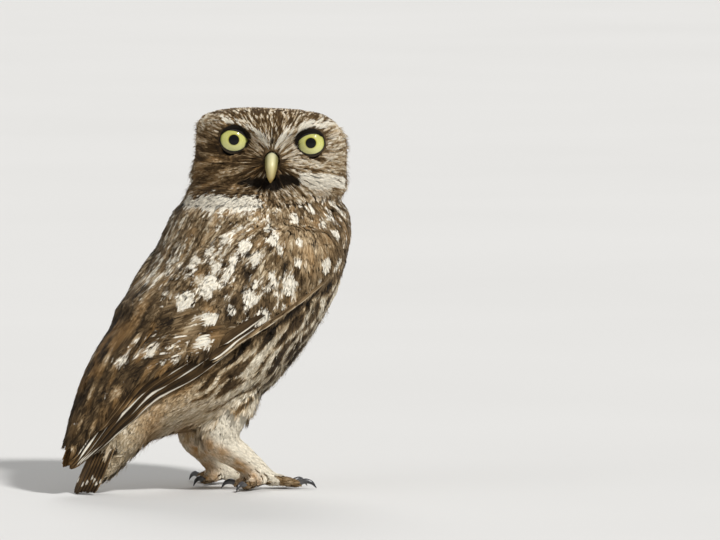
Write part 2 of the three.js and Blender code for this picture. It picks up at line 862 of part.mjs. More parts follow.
// The origin lies on the floor, under the middle of the bird's box.
const box = new THREE.Box3().setFromObject(owl);
const middle = box.getCenter(vec());
owl.position.set(-middle.x, -middle.y, -box.min.z);

export default owl;
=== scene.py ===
import math

import bmesh
import bpy
import numpy as np
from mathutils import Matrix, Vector
from mathutils.bvhtree import BVHTree


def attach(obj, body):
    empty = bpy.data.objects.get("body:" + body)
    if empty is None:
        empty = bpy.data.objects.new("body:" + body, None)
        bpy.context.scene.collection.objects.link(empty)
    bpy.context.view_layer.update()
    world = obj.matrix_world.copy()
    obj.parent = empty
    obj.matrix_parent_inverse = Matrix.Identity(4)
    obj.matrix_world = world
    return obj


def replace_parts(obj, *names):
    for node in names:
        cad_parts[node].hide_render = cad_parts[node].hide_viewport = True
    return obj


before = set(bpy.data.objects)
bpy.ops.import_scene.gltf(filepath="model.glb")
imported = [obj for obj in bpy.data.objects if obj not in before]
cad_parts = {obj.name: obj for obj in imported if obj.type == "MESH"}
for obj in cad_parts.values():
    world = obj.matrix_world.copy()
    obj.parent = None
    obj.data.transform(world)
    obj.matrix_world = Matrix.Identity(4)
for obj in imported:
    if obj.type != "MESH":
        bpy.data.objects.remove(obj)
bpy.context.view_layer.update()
dice = np.random.default_rng(11)

# All places are in millimetres in the bird's own frame: it heads along +X, its left is +Y
mm = 0.001
birdPlace = np.array([14.709, 0.014, -0.262])  # the part's origin lies under the middle of its box
sideNames = {1: "left", -1: "right"}


def unit(ways):
    return ways / np.maximum(np.linalg.norm(ways, axis=-1, keepdims=True), 1e-9)


def mix(low, high, share):
    return low + (high - low) * share


def soft(low, high, values):
    share = np.clip((values - low) / (high - low), 0, 1)
    return share * share * (3 - 2 * share)


def hump(distance, width):
    return np.exp(-((distance / width) ** 2))


def lump(points, centre, sizes):
    return hump(np.linalg.norm((points - np.array(centre)) / np.array(sizes), axis=1), 1)


def oval(across, up, centre, sizes):
    return hump(np.hypot((across - centre[0]) / sizes[0], (up - centre[1]) / sizes[1]), 1)


def grain(points, size, seed=0):  # smooth noise from 0 to 1 with lumps of that size
    cells = points / np.asarray(size, float) + seed * 17.3
    low = np.floor(cells)
    part = cells - low
    part = part * part * (3 - 2 * part)
    low = low.astype(np.int64)
    total = np.zeros(len(points))
    for corner in np.ndindex(2, 2, 2):
        x, y, z = (low + corner).T
        code = (x * 73856093) ^ (y * 19349663) ^ (z * 83492791)
        code = ((code ^ (code >> 13)) * 1274126177) & 0xFFFFFF
        weight = np.prod(np.where(corner, part, 1 - part), axis=1)
        total += weight * ((code ^ (code >> 9)) & 0xFFFF) / 65535
    return total


class Run:  # a smooth run through stations, read at a share from 0 to 1 of the way along
    def __init__(self, stations):
        rows = np.array(stations, float)
        self.rows = np.vstack([2 * rows[0] - rows[1], rows, 2 * rows[-1] - rows[-2]])
        self.last = len(rows) - 1

    def at(self, share):
        place = np.clip(np.asarray(share, float), 0, 1) * self.last
        low = np.minimum(place.astype(int), self.last - 1)
        part = (place - low)[..., None]
        before, here, there, after = (self.rows[low + i] for i in range(4))
        leave, arrive = (there - before) / 2, (after - here) / 2
        cube, square = part**3, part**2
        return ((2 * cube - 3 * square + 1) * here + (cube - 2 * square + part) * leave
                + (3 * square - 2 * cube) * there + (cube - square) * arrive)

    def upWay(self, share):  # away from the spine, square to the run
        along = unit(self.at(share + 0.004)[..., :2] - self.at(share - 0.004)[..., :2])
        along = np.where(along[..., 1:] < 0, -along, along)
        flat = np.zeros(along.shape[:-1])
        return np.stack([-along[..., 1], flat, along[..., 0]], -1)

    def around(self, share, angle, height):
        here = self.at(share)
        point = self.upWay(share) * (np.cos(angle) * (here[..., 3] + height))[..., None]
        point[..., 0] += here[..., 0]
        point[..., 1] += np.sin(angle) * (here[..., 2] + height)
        point[..., 2] += here[..., 1]
        return point

    def find(self, points):  # the share along, and the angle from the spine, of any places
        table = np.linspace(0, 1, 57)
        here = self.at(table)
        up = self.upWay(table)
        speed = np.linalg.norm(np.gradient(here[:, :2], table, axis=0), axis=1)
        descend = np.sign(here[-1, 1] - here[0, 1])
        flat = points[:, [0, 2]]
        way = np.stack([up[:, 2], -up[:, 0]], 1) * descend
        off = flat @ way.T - np.sum(here[:, :2] * way, 1)
        square = (flat**2).sum(1)[:, None] - 2 * flat @ here[:, :2].T + (here[:, :2] ** 2).sum(1)
        cost = np.abs(off) + 0.02 * np.sqrt(np.maximum(square, 0))
        pick = cost.argmin(1)
        rows = np.arange(len(points))
        share = np.clip(table[pick] + off[rows, pick] / speed[pick], 0, 1)
        here = self.at(share)
        away = points - np.stack([here[:, 0], np.zeros(len(points)), here[:, 1]], 1)
        dorsal = np.sum(away * self.upWay(share), 1) / here[:, 3]
        return share, np.degrees(np.arctan2(np.abs(points[:, 1]) / here[:, 2], dorsal))


trunkRun = Run([  # x, z, half width, half depth
    (-75, 9, 5, 3), (-66, 21, 11, 8), (-57, 35, 18, 15), (-46, 48, 29, 25), (-31, 61, 38, 36),
    (-13, 79, 43.5, 42), (2.5, 98, 46, 44.5), (13, 117, 47, 46.5), (18.5, 132, 43.5, 44.5),
    (21.5, 146, 33, 39), (23, 158, 20, 25),
])
wingRun = Run([  # and the angles from the spine of the wing's top and bottom edges
    (18.5, 134, 45, 46, 84, 106), (15, 122, 49.5, 49, 58, 128), (2.5, 100, 48.5, 46, 30, 116),
    (-15, 80, 45.5, 43.5, 18, 100), (-35, 62, 38, 37, 14, 87), (-55, 50.3, 26, 25, 13, 80),
    (-70.6, 36.7, 16, 16, 14, 88), (-85.5, 20, 7, 6, 18, 110), (-91.5, 11.5, 4, 3.6, 22, 125),
])


def wingPoint(side, share, down, height):
    top, bottom = np.moveaxis(wingRun.at(share)[..., 4:6], -1, 0)
    return wingRun.around(share, side * np.radians(mix(top, bottom, down)), height)


def wingEdge(share):  # how far down the feathers of the folded wing reach
    return np.interp(share, [0, 0.06, 0.11, 0.15, 0.2, 0.3, 0.4, 0.5, 0.6, 0.7, 0.85, 1],
                     [1.2, 1.1, 0.97, 0.9, 0.87, 0.88, 0.93, 1.04, 1.18, 1.22, 1.10, 1.0])


def wingPlace(points):  # share of the way to the tip, and share of the way down to that edge
    share, angle = wingRun.find(points)
    top, bottom = np.moveaxis(wingRun.at(share)[..., 4:6], -1, 0)
    return share, (angle - top) / (bottom - top) / wingEdge(share)


shoulder = {"x": 25, "z": 148}  # the coverts and the mantle fan out below it


def sideReach(points):  # how far to the right a place lies in the camera's view
    return 0.883 * points[:, 0] + 0.469 * np.abs(points[:, 1])


def wingWays(points):
    share, part = wingPlace(points)
    side = np.sign(points[:, 1])
    ahead, behind = (wingPoint(side, np.clip(s, 0, 1), part * wingEdge(s), 0 * s)
                     for s in (share + 0.03, share - 0.03))
    return mix(fanWays(points), unit(ahead - behind), soft(0.42, 0.6, share)[:, None])


def fanWays(points):
    ways = points - np.array([shoulder["x"], 0, shoulder["z"]])
    ways = ways * np.array([0.75, 0, 1]) - np.array([0, 0, 6])
    return unit(ways)


def turned(axis, degrees):
    c, s = math.cos(math.radians(degrees)), math.sin(math.radians(degrees))
    rows = {"x": [[1, 0, 0], [0, c, -s], [0, s, c]], "y": [[c, 0, s], [0, 1, 0], [-s, 0, c]],
            "z": [[c, -s, 0], [s, c, 0], [0, 0, 1]]}
    return np.array(rows[axis])


head = {"centre": (23.8, 0, 166), "turn": -118, "nod": 3, "tilt": -2.4, "depth": 29.5}
headAxes = turned("z", head["turn"]) @ turned("y", -head["nod"]) @ turned("x", head["tilt"])
headCentre = np.array(head["centre"])


def fromHead(points):
    return np.asarray(points, float) @ headAxes.T + headCentre


def toHead(points):
    return (points - headCentre) @ headAxes


eyes = {"level": 7.2, "spacing": 38.4, "depth": 17.6, "radius": 9.4}
legs = {
    "knee": {1: (-8, 17, 50), -1: (-8, -17, 50)},
    "heel": {1: (-12.5, 16, 25.5), -1: (-17, -16, 25.5)},
    "ball": {1: (4, 17, 7.5), -1: (9.5, -17, 7.5)},
    "shankRadius": 6,
}
toes = {  # heading from the bird's way, length beyond the ball, length of the claw
    1: {"inner": (-16, 13, 8.5), "middle": (14, 15, 9), "outer": (102, 13, 8.5), "hind": (-160, 9, 7.5)},
    -1: {"inner": (3, 13, 8.5), "middle": (-29, 13.5, 9), "outer": (-148, 13, 8.5), "hind": (158, 9, 7.5)},
}


def toeWay(side, toe):
    heading = math.radians(toes[side][toe][0])
    return np.array([math.cos(heading), math.sin(heading), 0])


# Meshes from arrays

def lofted(sections):  # a closed tube with capped ends through rows of sections
    rows, columns = sections.shape[:2]
    points = np.vstack([sections.reshape(-1, 3), sections[:1].mean(1), sections[-1:].mean(1)])
    row, column = np.meshgrid(np.arange(rows - 1), np.arange(columns), indexing="ij")
    a = (row * columns + column).ravel()
    b = (row * columns + (column + 1) % columns).ravel()
    corners = [np.stack([a, b, b + columns], 1), np.stack([a, b + columns, a + columns], 1)]
    ring = np.arange(columns)
    after = (ring + 1) % columns
    last = (rows - 1) * columns
    corners.append(np.stack([after, ring, np.full(columns, rows * columns)], 1))
    corners.append(np.stack([ring + last, after + last, np.full(columns, rows * columns + 1)], 1))
    corners = np.vstack(corners)
    a, b, c = (points[corners[:, i]] for i in range(3))
    if np.einsum("ij,ij->i", a, np.cross(b, c)).sum() < 0:
        corners = corners[:, ::-1]
    return points, corners


def joined(parts):
    points, corners, start = [], [], 0
    for places, triangles in parts:
        points.append(places)
        corners.append(triangles + start)
        start += len(places)
    return np.vstack(points), np.vstack(corners)


def newPiece(name, points, corners, material, fields=None, patches=None, slot="plumage"):
    mesh = bpy.data.meshes.new(name)
    mesh.vertices.add(len(points))
    mesh.vertices.foreach_set("co", ((points + birdPlace) * mm).astype(np.float32).ravel())
    mesh.loops.add(corners.size)
    mesh.loops.foreach_set("vertex_index", corners.astype(np.int32).ravel())
    mesh.polygons.add(len(corners))
    starts = np.arange(0, corners.size, corners.shape[1], dtype=np.int32)
    mesh.polygons.foreach_set("loop_start", starts)
    mesh.polygons.foreach_set("use_smooth", np.ones(len(corners), bool))
    mesh.update(calc_edges=True)
    for field, values in (fields or {}).items():
        layer = mesh.attributes.new(field, "FLOAT", "POINT")
        layer.data.foreach_set("value", np.asarray(values, np.float32).ravel())
    if patches is not None:
        layer = mesh.uv_layers.new(name="OFBake")
        layer.data.foreach_set("uv", patches[corners.ravel()].astype(np.float32).ravel())
    mesh.materials.append(material)
    piece = bpy.data.objects.new(name, mesh)
    bpy.context.scene.collection.objects.link(piece)
    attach(piece, "root")
    print(name, len(corners), "faces")
    return piece


# Finishes

class Wire:  # a shader socket on which sums are written as in Python
    def __init__(self, graph, socket):
        self.graph = graph
        self.socket = socket

    def maths(self, operation, *values):
        return self.graph.add("Math", {"operation": operation}, dict(enumerate(values)))

    def __add__(self, other):
        return self.maths("ADD", self, other)

    def __sub__(self, other):
        return self.maths("SUBTRACT", self, other)

    def __rsub__(self, other):
        return self.maths("SUBTRACT", other, self)

    def __mul__(self, other):
        return self.maths("MULTIPLY", self, other)

    __radd__ = __add__
    __rmul__ = __mul__

    def most(self, other):
        return self.maths("MAXIMUM", self, other)

    def step(self, low, high):
        values = {"Value": self, "From Min": low, "From Max": high}
        return self.graph.add("MapRange", {"interpolation_type": "SMOOTHSTEP"}, values)


class Finish:  # one material and its nodes
    def __init__(self, name, **shader):
        self.material = bpy.data.materials.new(name)
        self.material.use_nodes = True
        self.tree = self.material.node_tree
        self.shader = self.tree.nodes["Principled BSDF"]
        for socket, value in shader.items():
            self.shader.inputs[socket.replace("_", " ")].default_value = value

    def add(self, kind, settings, values, output=0):
        node = self.tree.nodes.new("ShaderNode" + kind)
        stops = settings.pop("stops", None)
        for key, value in settings.items():
            setattr(node, key, value)
        if stops:
            ramp = node.color_ramp.elements
            while len(ramp) < len(stops):
                ramp.new(0.5)
            for spot, (place, colour) in zip(ramp, stops):
                spot.position = place
                spot.color = (*colour, 1)
        for key, value in values.items():
            if isinstance(value, Wire):
                self.tree.links.new(value.socket, node.inputs[key])
            else:
                node.inputs[key].default_value = value
        return Wire(self, node.outputs[output])

    def field(self, name):
        return self.add("Attribute", {"attribute_name": name}, {}, "Fac")

    def place(self):
        return self.add("TexCoord", {}, {}, "Object")

    def noise(self, vector, scale, detail=2.0, rough=0.5):
        values = {"Vector": vector, "Scale": scale, "Detail": detail, "Roughness": rough}
        return self.add("TexNoise", {}, values, "Fac")

    def triple(self, x, y, z):
        return self.add("CombineXYZ", {}, {0: x, 1: y, 2: z})

    def blend(self, share, first, second, kind="MIX"):
        first, second = (c if isinstance(c, Wire) else (*c, 1) for c in (first, second))
        settings = {"data_type": "RGBA", "blend_type": kind}
        return self.add("Mix", settings, {0: share, 6: first, 7: second}, 2)

    def ramp(self, value, *stops):
        return self.add("ValToRGB", {"stops": stops}, {"Fac": value})

    def set(self, **sockets):
        for socket, wire in sockets.items():
            self.tree.links.new(wire.socket, self.shader.inputs[socket.replace("_", " ")])

    def bump(self, height, distance, strength=1.0):
        values = {"Height": height, "Distance": distance, "Strength": strength}
        self.set(Normal=self.add("Bump", {}, values))


plumageColours = {
    "tones": [
        (0.0, (0.011, 0.007, 0.003)),
        (0.2, (0.038, 0.023, 0.010)),
        (0.4, (0.115, 0.073, 0.034)),
        (0.6, (0.270, 0.187, 0.100)),
        (0.8, (0.530, 0.425, 0.275)),
        (1.0, (0.860, 0.790, 0.640)),
    ],
    "pale": (0.93, 0.88, 0.76),
    "cream": (0.74, 0.63, 0.45),
    "dark": (0.016, 0.010, 0.005),
    "warm": (0.46, 0.25, 0.085),
}


def plumageFinish():
    finish = Finish("plumage", Specular_IOR_Level=0.12, Sheen_Weight=0.03, Sheen_Roughness=0.5)
    across, along = finish.field("across"), finish.field("along")
    tuft, strand = finish.field("tuft"), finish.field("strand")
    fine = finish.noise(finish.triple(across * 3.2, along * 1.6, tuft * 91.0), 2.2, 3.0, 0.6)
    lines = finish.noise(finish.triple(across * 9.0, along * 0.9, tuft * 57.0 + strand * 13.0), 1.8, 1.0)
    tone = finish.field("tone") + (strand - 0.5) * 0.14 + (fine - 0.5) * 0.22
    colour = finish.ramp(tone, *plumageColours["tones"])
    colour = finish.blend(finish.field("warm") * (0.5 + fine), colour, plumageColours["warm"])
    fray = (fine - 0.5) * 1.1 + (strand - 0.5) * 0.7
    pale = (finish.field("pale") + fray).step(-0.4, 0.5)
    paleColour = finish.blend(lines.step(0.4, 0.8), plumageColours["pale"], plumageColours["cream"])
    colour = finish.blend(pale, colour, paleColour)
    dark = (finish.field("dark") + fray).step(-0.4, 0.5)
    colour = finish.blend(dark, colour, plumageColours["dark"])
    # barb lines and strands vary the brightness; the darker roots are painted shade where the feathers
    # overlap
    shade = (0.68 + lines * 0.36 + (strand - 0.5) * 0.30) * (0.60 + along.step(0.05, 0.5) * 0.48)
    colour = finish.blend(1.0, colour, finish.triple(shade, shade, shade), "MULTIPLY")
    finish.set(Base_Color=colour, Roughness=0.66 + fine * 0.2)
    finish.bump(lines, 0.00025, 0.6)
    return finish.material


plumage = plumageFinish()


# The skin under the feathers

skinPlan = {
    "voxel": 1.15,
    "grow": 0.4,  # closes the gaps between the solids
    "rounds": 5,
    "unfold": 14,  # rounds that smooth out any fold
    "depth": {"torso": 2.3, "neck": 2.3, "head": 1.5, "wing": 0.4, "thigh": 1.8, "shank": 1.3, "toe": 0.8},
}
regions = list(skinPlan["depth"])
regionOf = {name: i for i, name in enumerate(regions)}
fleshNodes = [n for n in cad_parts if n.split("_")[0] in regionOf and not n.startswith("wing")]


def solidArrays(name, grow):
    solid = bmesh.new()
    solid.from_mesh(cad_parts[name].data)
    bmesh.ops.remove_doubles(solid, verts=solid.verts, dist=1e-6)
    bmesh.ops.triangulate(solid, faces=solid.faces)
    solid.normal_update()
    points = np.array([v.co / mm + v.normal * grow for v in solid.verts]) - birdPlace
    corners = np.array([[v.index for v in f.verts] for f in solid.faces])
    solid.free()
    return points, corners


def wingCore(side):
    shares = np.linspace(0.03, 0.64, 30)
    downs = np.linspace(0.02, 0.98, 14)
    share, down = np.meshgrid(shares, downs, indexing="ij")
    edge = np.abs(2 * down - 1) ** 5 * np.where(down < 0.5, 2.6, 0.8)
    beyond = soft(0.98, 1.06, down / wingEdge(share))
    outer = wingPoint(side, share, down, -mix(1.8, 2.9, soft(0.36, 0.5, share)) - edge - 1.4 * beyond)
    under = wingPoint(side, share, down, -mix(6.5, 5.2, soft(0.4, 0.6, share)) - 0.2 * edge)
    return lofted(np.concatenate([outer, under[:, ::-1]], axis=1))


def remeshed(points, corners, voxel):
    mesh = bpy.data.meshes.new("rough")
    mesh.from_pydata((points * mm).tolist(), [], corners.tolist())
    rough = bpy.data.objects.new("rough", mesh)
    bpy.context.scene.collection.objects.link(rough)
    remesh = rough.modifiers.new("remesh", "REMESH")
    remesh.mode = "VOXEL"
    remesh.voxel_size = voxel * mm
    done = bpy.data.meshes.new_from_object(rough.evaluated_get(bpy.context.evaluated_depsgraph_get()))
    bpy.data.objects.remove(rough)
    places = np.empty(len(done.vertices) * 3)
    done.vertices.foreach_get("co", places)
    quads = np.array([tuple(p.vertices) for p in done.polygons if len(p.vertices) == 4])
    return places.reshape(-1, 3) / mm, quads


def largest(points, faces):  # the largest closed surface
    label = np.arange(len(points))
    pairs = np.vstack([faces[:, [i, (i + 1) % 4]] for i in range(4)])
    while True:
        low = np.minimum(label[pairs[:, 0]], label[pairs[:, 1]])
        new = label.copy()
        np.minimum.at(new, pairs[:, 0], low)
        np.minimum.at(new, pairs[:, 1], low)
        new = new[new]
        if (new == label).all():
            break
        label = new
    names, counts = np.unique(label, return_counts=True)
    kept = label == names[counts.argmax()]
    order = np.cumsum(kept) - 1
    return points[kept], order[faces[kept[faces[:, 0]]]]


def vertexNormals(points, triangles):
    a, b, c = (points[triangles[:, i]] for i in range(3))
    facing = np.cross(b - a, c - a)
    total = np.zeros_like(points)
    for i in range(3):
        for k in range(3):
            total[:, k] += np.bincount(triangles[:, i], facing[:, k], len(points))
    return unit(total)


def swelling(points):  # where the coat is thicker or thinner than the solids, in mm
    share, angle = trunkPlace(points)
    breast = 3.0 * hump(points[:, 2] - 135, 17) * soft(42, 57, sideReach(points))
    vent = -3.6 * soft(0.26, 0.08, share) * soft(95, 150, angle) * (points[:, 2] < 60)
    local = toHead(points)
    onHead = soft(150, 156, points[:, 2])
    jaw = 4.0 * lump(local, (-4, -37, -13), (14, 10, 7))
    crown = -1.2 * soft(15, 22, local[:, 2]) * onHead
    cheek = -1.1 * soft(26, 34, local[:, 1]) * onHead * soft(-14, -6, local[:, 2])
    cheek -= 1.5 * soft(12, 24, local[:, 1]) * soft(10, 18, local[:, 2])
    cheek += 2.0 * lump(local, (2, -34, 17), (14, 9, 8))
    wingShare, wingPart = wingPlace(points)
    lee = -1.7 * hump(wingPart - 1.02, 0.16) * soft(0.25, 0.4, wingShare) * soft(0.9, 0.75, wingShare)
    lee = lee * soft(40, 60, angle) * soft(150, 140, points[:, 2])
    return breast + vent + jaw + crown + cheek + lee


def browLine(aside):
    return 3 + 14.5 * np.tanh(np.abs(aside) / 12)


def thinned(places, spacing):  # one place for each cell of that size
    cells = np.floor(places / (spacing * 1.18)).astype(int)
    return np.sort(np.unique(cells, axis=0, return_index=True)[1])


class Skin:
    def __init__(self):
        parts = [solidArrays(n, skinPlan["grow"]) for n in fleshNodes]
        parts += [wingCore(side) for side in sideNames]
        points, quads = largest(*remeshed(*joined(parts), skinPlan["voxel"]))
        edges = np.vstack([quads[:, [i, (i + 1) % 4]] for i in range(4)])
        self.pairs = np.vstack([edges, edges[:, ::-1]])
        for _ in range(skinPlan["rounds"]):
            for share in (0.5, -0.52):
                points = self.eased(points, share)
        triangles = np.vstack([quads[:, [0, 1, 2]], quads[:, [0, 2, 3]]])
        self.region = self.nearestNodes(points)
        depth = self.eased(np.array([skinPlan["depth"][r] for r in regions])[self.region][:, None], 0.5, 6)
        grown = np.where(self.region == regionOf["wing"], 0, skinPlan["grow"])[:, None]
        before = vertexNormals(points, triangles)
        shift = swelling(points)[:, None] - depth - grown
        points = points + before * np.maximum(shift, -self.spareDepth(points, triangles, before))
        points = self.eased(points, 0.4, 2)
        for _ in range(skinPlan["unfold"]):
            folded = np.sum(vertexNormals(points, triangles) * before, 1) < 0.4
            near = self.nearby(self.nearby(folded.astype(float)[:, None])) > 0
            points = np.where(near, self.nearby(points), points)
        points[:, 2] = np.maximum(points[:, 2], 0.5)
        self.points, self.quads = points, quads
        self.piece = self.makePiece()
        self.readTriangles()
        self.ways = self.flow()
        self.tree = BVHTree.FromPolygons(self.points.tolist(), self.triangles.tolist())

    def nearby(self, values):  # the mean over each point's neighbours
        first, second = self.pairs.T
        total = [np.bincount(first, column[second], len(values)) for column in values.T]
        return np.stack(total, 1) / np.maximum(np.bincount(first, minlength=len(values)), 1)[:, None]

    def eased(self, values, share, rounds=1):
        for _ in range(rounds):
            values = values + share * (self.nearby(values) - values)
        return values

    def spareDepth(self, points, triangles, normals):  # how far thin parts can sink
        tree = BVHTree.FromPolygons(points.tolist(), triangles.tolist())
        reach = [tree.ray_cast(Vector(p) - Vector(n) * 0.05, -Vector(n), 16)[3] or 16
                 for p, n in zip(points.tolist(), normals.tolist())]
        spare = 0.28 * np.array(reach)
        for _ in range(3):
            least = spare.copy()
            np.minimum.at(least, self.pairs[:, 0], spare[self.pairs[:, 1]])
            spare = least
        return self.eased(spare[:, None], 0.5, 4)

    def nearestNodes(self, points):
        parts, labels = [], []
        for name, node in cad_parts.items():
            word = name.split("_")[0]
            if word in regionOf:
                places, corners = solidArrays(name, 0)
                parts.append((places, corners))
                labels += [regionOf[word]] * len(corners)
        places, corners = joined(parts)
        tree = BVHTree.FromPolygons(places.tolist(), corners.tolist())
        return np.array([labels[tree.find_nearest(p)[2]] for p in points.tolist()])

    def makePiece(self):
        piece = newPiece("skin", self.points, self.quads, plumage)
        bpy.context.view_layer.objects.active = piece
        piece.select_set(True)
        piece.data.uv_layers.new(name="OFBake")
        bpy.ops.object.mode_set(mode="EDIT")
        bpy.ops.mesh.select_all(action="SELECT")
        bpy.ops.uv.smart_project(angle_limit=math.radians(70), island_margin=0.001)
        bpy.ops.object.mode_set(mode="OBJECT")
        piece.select_set(False)
        return piece

    def readTriangles(self):
        mesh = self.piece.data
        mesh.calc_loop_triangles()
        count = len(mesh.loop_triangles)
        corners, loops = np.empty(count * 3, np.int32), np.empty(count * 3, np.int32)
        mesh.loop_triangles.foreach_get("vertices", corners)
        mesh.loop_triangles.foreach_get("loops", loops)
        flat = np.empty(len(mesh.loops) * 2, np.float32)
        mesh.uv_layers["OFBake"].data.foreach_get("uv", flat)
        self.triangles = corners.reshape(-1, 3)
        self.patches = flat.reshape(-1, 2)[loops].reshape(-1, 3, 2)
        self.normals = vertexNormals(self.points, self.triangles)
        a, b, c = (self.points[self.triangles[:, i]] for i in range(3))
        self.areas = np.linalg.norm(np.cross(b - a, c - a), axis=1) / 2
        self.centres = (a + b + c) / 3

    def flow(self):  # the lie of the coat
        points = self.points
        ways = trunkWays(points)
        onWing = self.region == regionOf["wing"]
        ways[onWing] = wingWays(points[onWing])
        flank = soft(22, 48, trunkPlace(points)[1]) * soft(66, 92, points[:, 2])
        flank = flank * (self.region == regionOf["torso"])
        ways = unit(mix(ways, fanWays(points), flank[:, None]))
        local = toHead(points)
        spread = local - np.array([31, 0, -3])
        spread[:, 2] -= 46 * soft(14, -16, local[:, 0])
        out = (np.abs(local[:, 1]) - eyes["spacing"] / 2) * np.sign(local[:, 1])
        eyeWays = np.stack([0 * out, out, local[:, 2] - eyes["level"]], 1)
        toEye = np.linalg.norm(eyeWays, axis=1)
        near = (0.7 * hump(toEye, 9) * soft(4, 12, local[:, 0]))[:, None]
        headWays = unit(spread) * (1 - near) + unit(eyeWays) * near
        onBrow = (hump(local[:, 2] - browLine(local[:, 1]), 3) * soft(6, 14, local[:, 0]))[:, None]
        climb = 1.2 / np.cosh(local[:, 1] / 12) ** 2
        browWays = np.stack([0 * climb - 0.3, np.sign(local[:, 1]), climb], 1)
        headWays = unit(mix(headWays, unit(browWays), 0.8 * onBrow)) @ headAxes.T
        pick = self.region
        ways = np.where((pick == regionOf["head"])[:, None], headWays, ways)
        for side in sideNames:
            here = (np.sign(points[:, 1]) == side)
            knee, heel, ball = (np.array(legs[k][side], float) for k in ("knee", "heel", "ball"))
            ways[here & (pick == regionOf["thigh"])] = unit(heel - knee)
            ways[here & (pick == regionOf["shank"])] = unit(ball - heel)
            onToe = here & (pick == regionOf["toe"])
            out = unit((points - ball) * np.array([1, 1, 0.3]))
            ways[onToe] = out[onToe]
        for _ in range(8):
            ways = unit(ways + self.nearby(ways))
            ways = unit(ways - self.normals * np.sum(ways * self.normals, 1, keepdims=True))
        return ways

    def pickRoots(self, wanted, spacing):  # evenly spread places on the wanted triangles
        areas = self.areas * wanted
        count = int(4 * areas.sum() / spacing**2)
        face = dice.choice(len(areas), count, p=areas / areas.sum())
        a, b = dice.random(count), dice.random(count)
        flip = a + b > 1
        a, b = np.where(flip, 1 - a, a), np.where(flip, 1 - b, b)
        shares = np.stack([1 - a - b, a, b], 1)
        places = np.einsum("ij,ijk->ik", shares, self.points[self.triangles[face]])
        kept = thinned(places, spacing)
        return face[kept], shares[kept], places[kept]

    def march(self, faces, places, lengths, steps):  # centre lines that follow the skin
        count = len(places)
        lines = np.empty((count, steps + 1, 3))
        ups = np.empty((count, steps + 1, 3))
        ways = unit(self.ways[self.triangles].mean(1)).tolist()
        normals = unit(self.normals[self.triangles].mean(1)).tolist()
        find = self.tree.find_nearest
        for i, (face, place, length) in enumerate(zip(faces.tolist(), places.tolist(), lengths.tolist())):
            spot = Vector(place)
            stride = length / steps
            lines[i, 0] = spot
            ups[i, 0] = normals[face]
            for k in range(1, steps + 1):
                spot, _, face, _ = find(spot + Vector(ways[face]) * stride)
                lines[i, k] = spot
                ups[i, k] = normals[face]
        return lines, ups


def trunkPlace(points):  # share of the way from vent to head, and angle from the spine
    table = np.linspace(0, 1, 200)
    middle = trunkRun.at(table)
    reach = points[:, 0] * 0.7 + points[:, 2] * 0.71
    share = np.interp(reach, middle[:, 0] * 0.7 + middle[:, 1] * 0.71, table)
    here = trunkRun.at(share)
    off = points - np.stack([here[:, 0], np.zeros(len(points)), here[:, 1]], 1)
    dorsal = np.sum(off * trunkRun.upWay(share), 1) / here[:, 3]
    return share, np.degrees(np.arctan2(np.abs(points[:, 1]) / here[:, 2], dorsal))


def trunkWays(points):
    share, _ = trunkPlace(points)
    up = trunkRun.upWay(share)
    return np.stack([-up[:, 2], np.zeros(len(points)), up[:, 0]], 1)


# Markings: tone from dark 0 to white 1, and how far inside a pale or dark mark, in mm

blotches = np.array([  # on the bird's right: place, half length, half width
    (16, -39, 138, 5, 2.4), (1, -39, 137, 2.2, 1.7), (0, -41, 132, 3.4, 2.6), (0, -46, 128, 4, 2.6),
    (3, -48, 122, 2.4, 2), (33, -38, 134, 2.3, 1.5), (42, -33, 132, 2.4, 1.8), (39, -38, 126, 3.9, 3.7),
    (14, -48, 126, 2.3, 1.5), (13, -49, 115, 2.3, 2.4), (30, -46, 113, 4.2, 3), (39, -39, 112, 4.6, 3.6),
    (-20, -32, 127, 2.6, 3), (-13, -41, 124, 4.2, 3.6), (-9, -45, 118, 3.6, 2.8), (-22, -37, 120, 3, 2.8),
    (-18, -39, 117, 4.4, 2), (-26, -28, 122, 3, 2.9), (-33, -25, 116, 4.4, 3.5), (-36, -30, 110, 3.5, 2.8),
    (-26, -35, 113, 4.2, 2.4), (-23, -40, 110, 4.2, 2.6), (-30, -35, 104, 5.6, 4), (-41, -31, 97, 5, 5.2),
    (-47, -20, 101, 4.4, 2.8), (-52, -23, 92, 4.2, 2.5), (-53, -3, 91, 4.2, 3), (-37, -6, 116, 3, 1.5),
    (-53, 16, 84, 2.2, 1.4), (-61, -16, 77, 2.4, 1.8), (8, -48, 104, 4.8, 4.3), (-1, -48, 108, 4, 2.4),
    (-10, -46, 105, 3.3, 2.4), (-13, -47, 98, 4, 4.6), (-22, -43, 93, 3, 2.2), (-6, -47, 88, 4.6, 5.2),
    (5, -48, 93, 2.2, 2.4), (-32, -40, 88, 3.8, 3.6), (-35, -41, 77, 3.2, 3.8), (-41, -35, 74, 3.6, 1.6),
    (-57, -24, 72, 3, 2.2), (-71, -17, 51, 2.4, 3),
])


def markField(points, marksAt, reach=3.0):  # how far inside the nearest mark, in mm
    field = np.full(len(points), -reach)
    for side in (-1, 1):
        for x, y, z, tall, wide in marksAt:
            off = points - np.array([x, -side * y, z])
            near = np.einsum("ij,ij->i", off, off) < (tall + reach) ** 2
            if not near.any():
                continue
            off = off[near]
            way = unit(np.array([(x - shoulder["x"]) * 0.4, 0, z - shoulder["z"] - 14]))
            along = off @ way
            across = np.linalg.norm(off - along[:, None] * way, axis=1)
            inside = (1.04 - np.hypot(along / tall / 1.05, across / wide / 0.9)) * wide
            field[near] = np.maximum(field[near], inside)
    return field


def fanPlace(points, wide, long):  # noise coordinates that run down the fan of the coverts
    ahead, up = points[:, 0] - shoulder["x"], points[:, 2] - shoulder["z"]
    turn = np.arctan2(0.75 * ahead, 6 - up)
    return np.stack([turn * 50 / wide, points[:, 1] / wide, np.hypot(ahead, up) / long], 1)


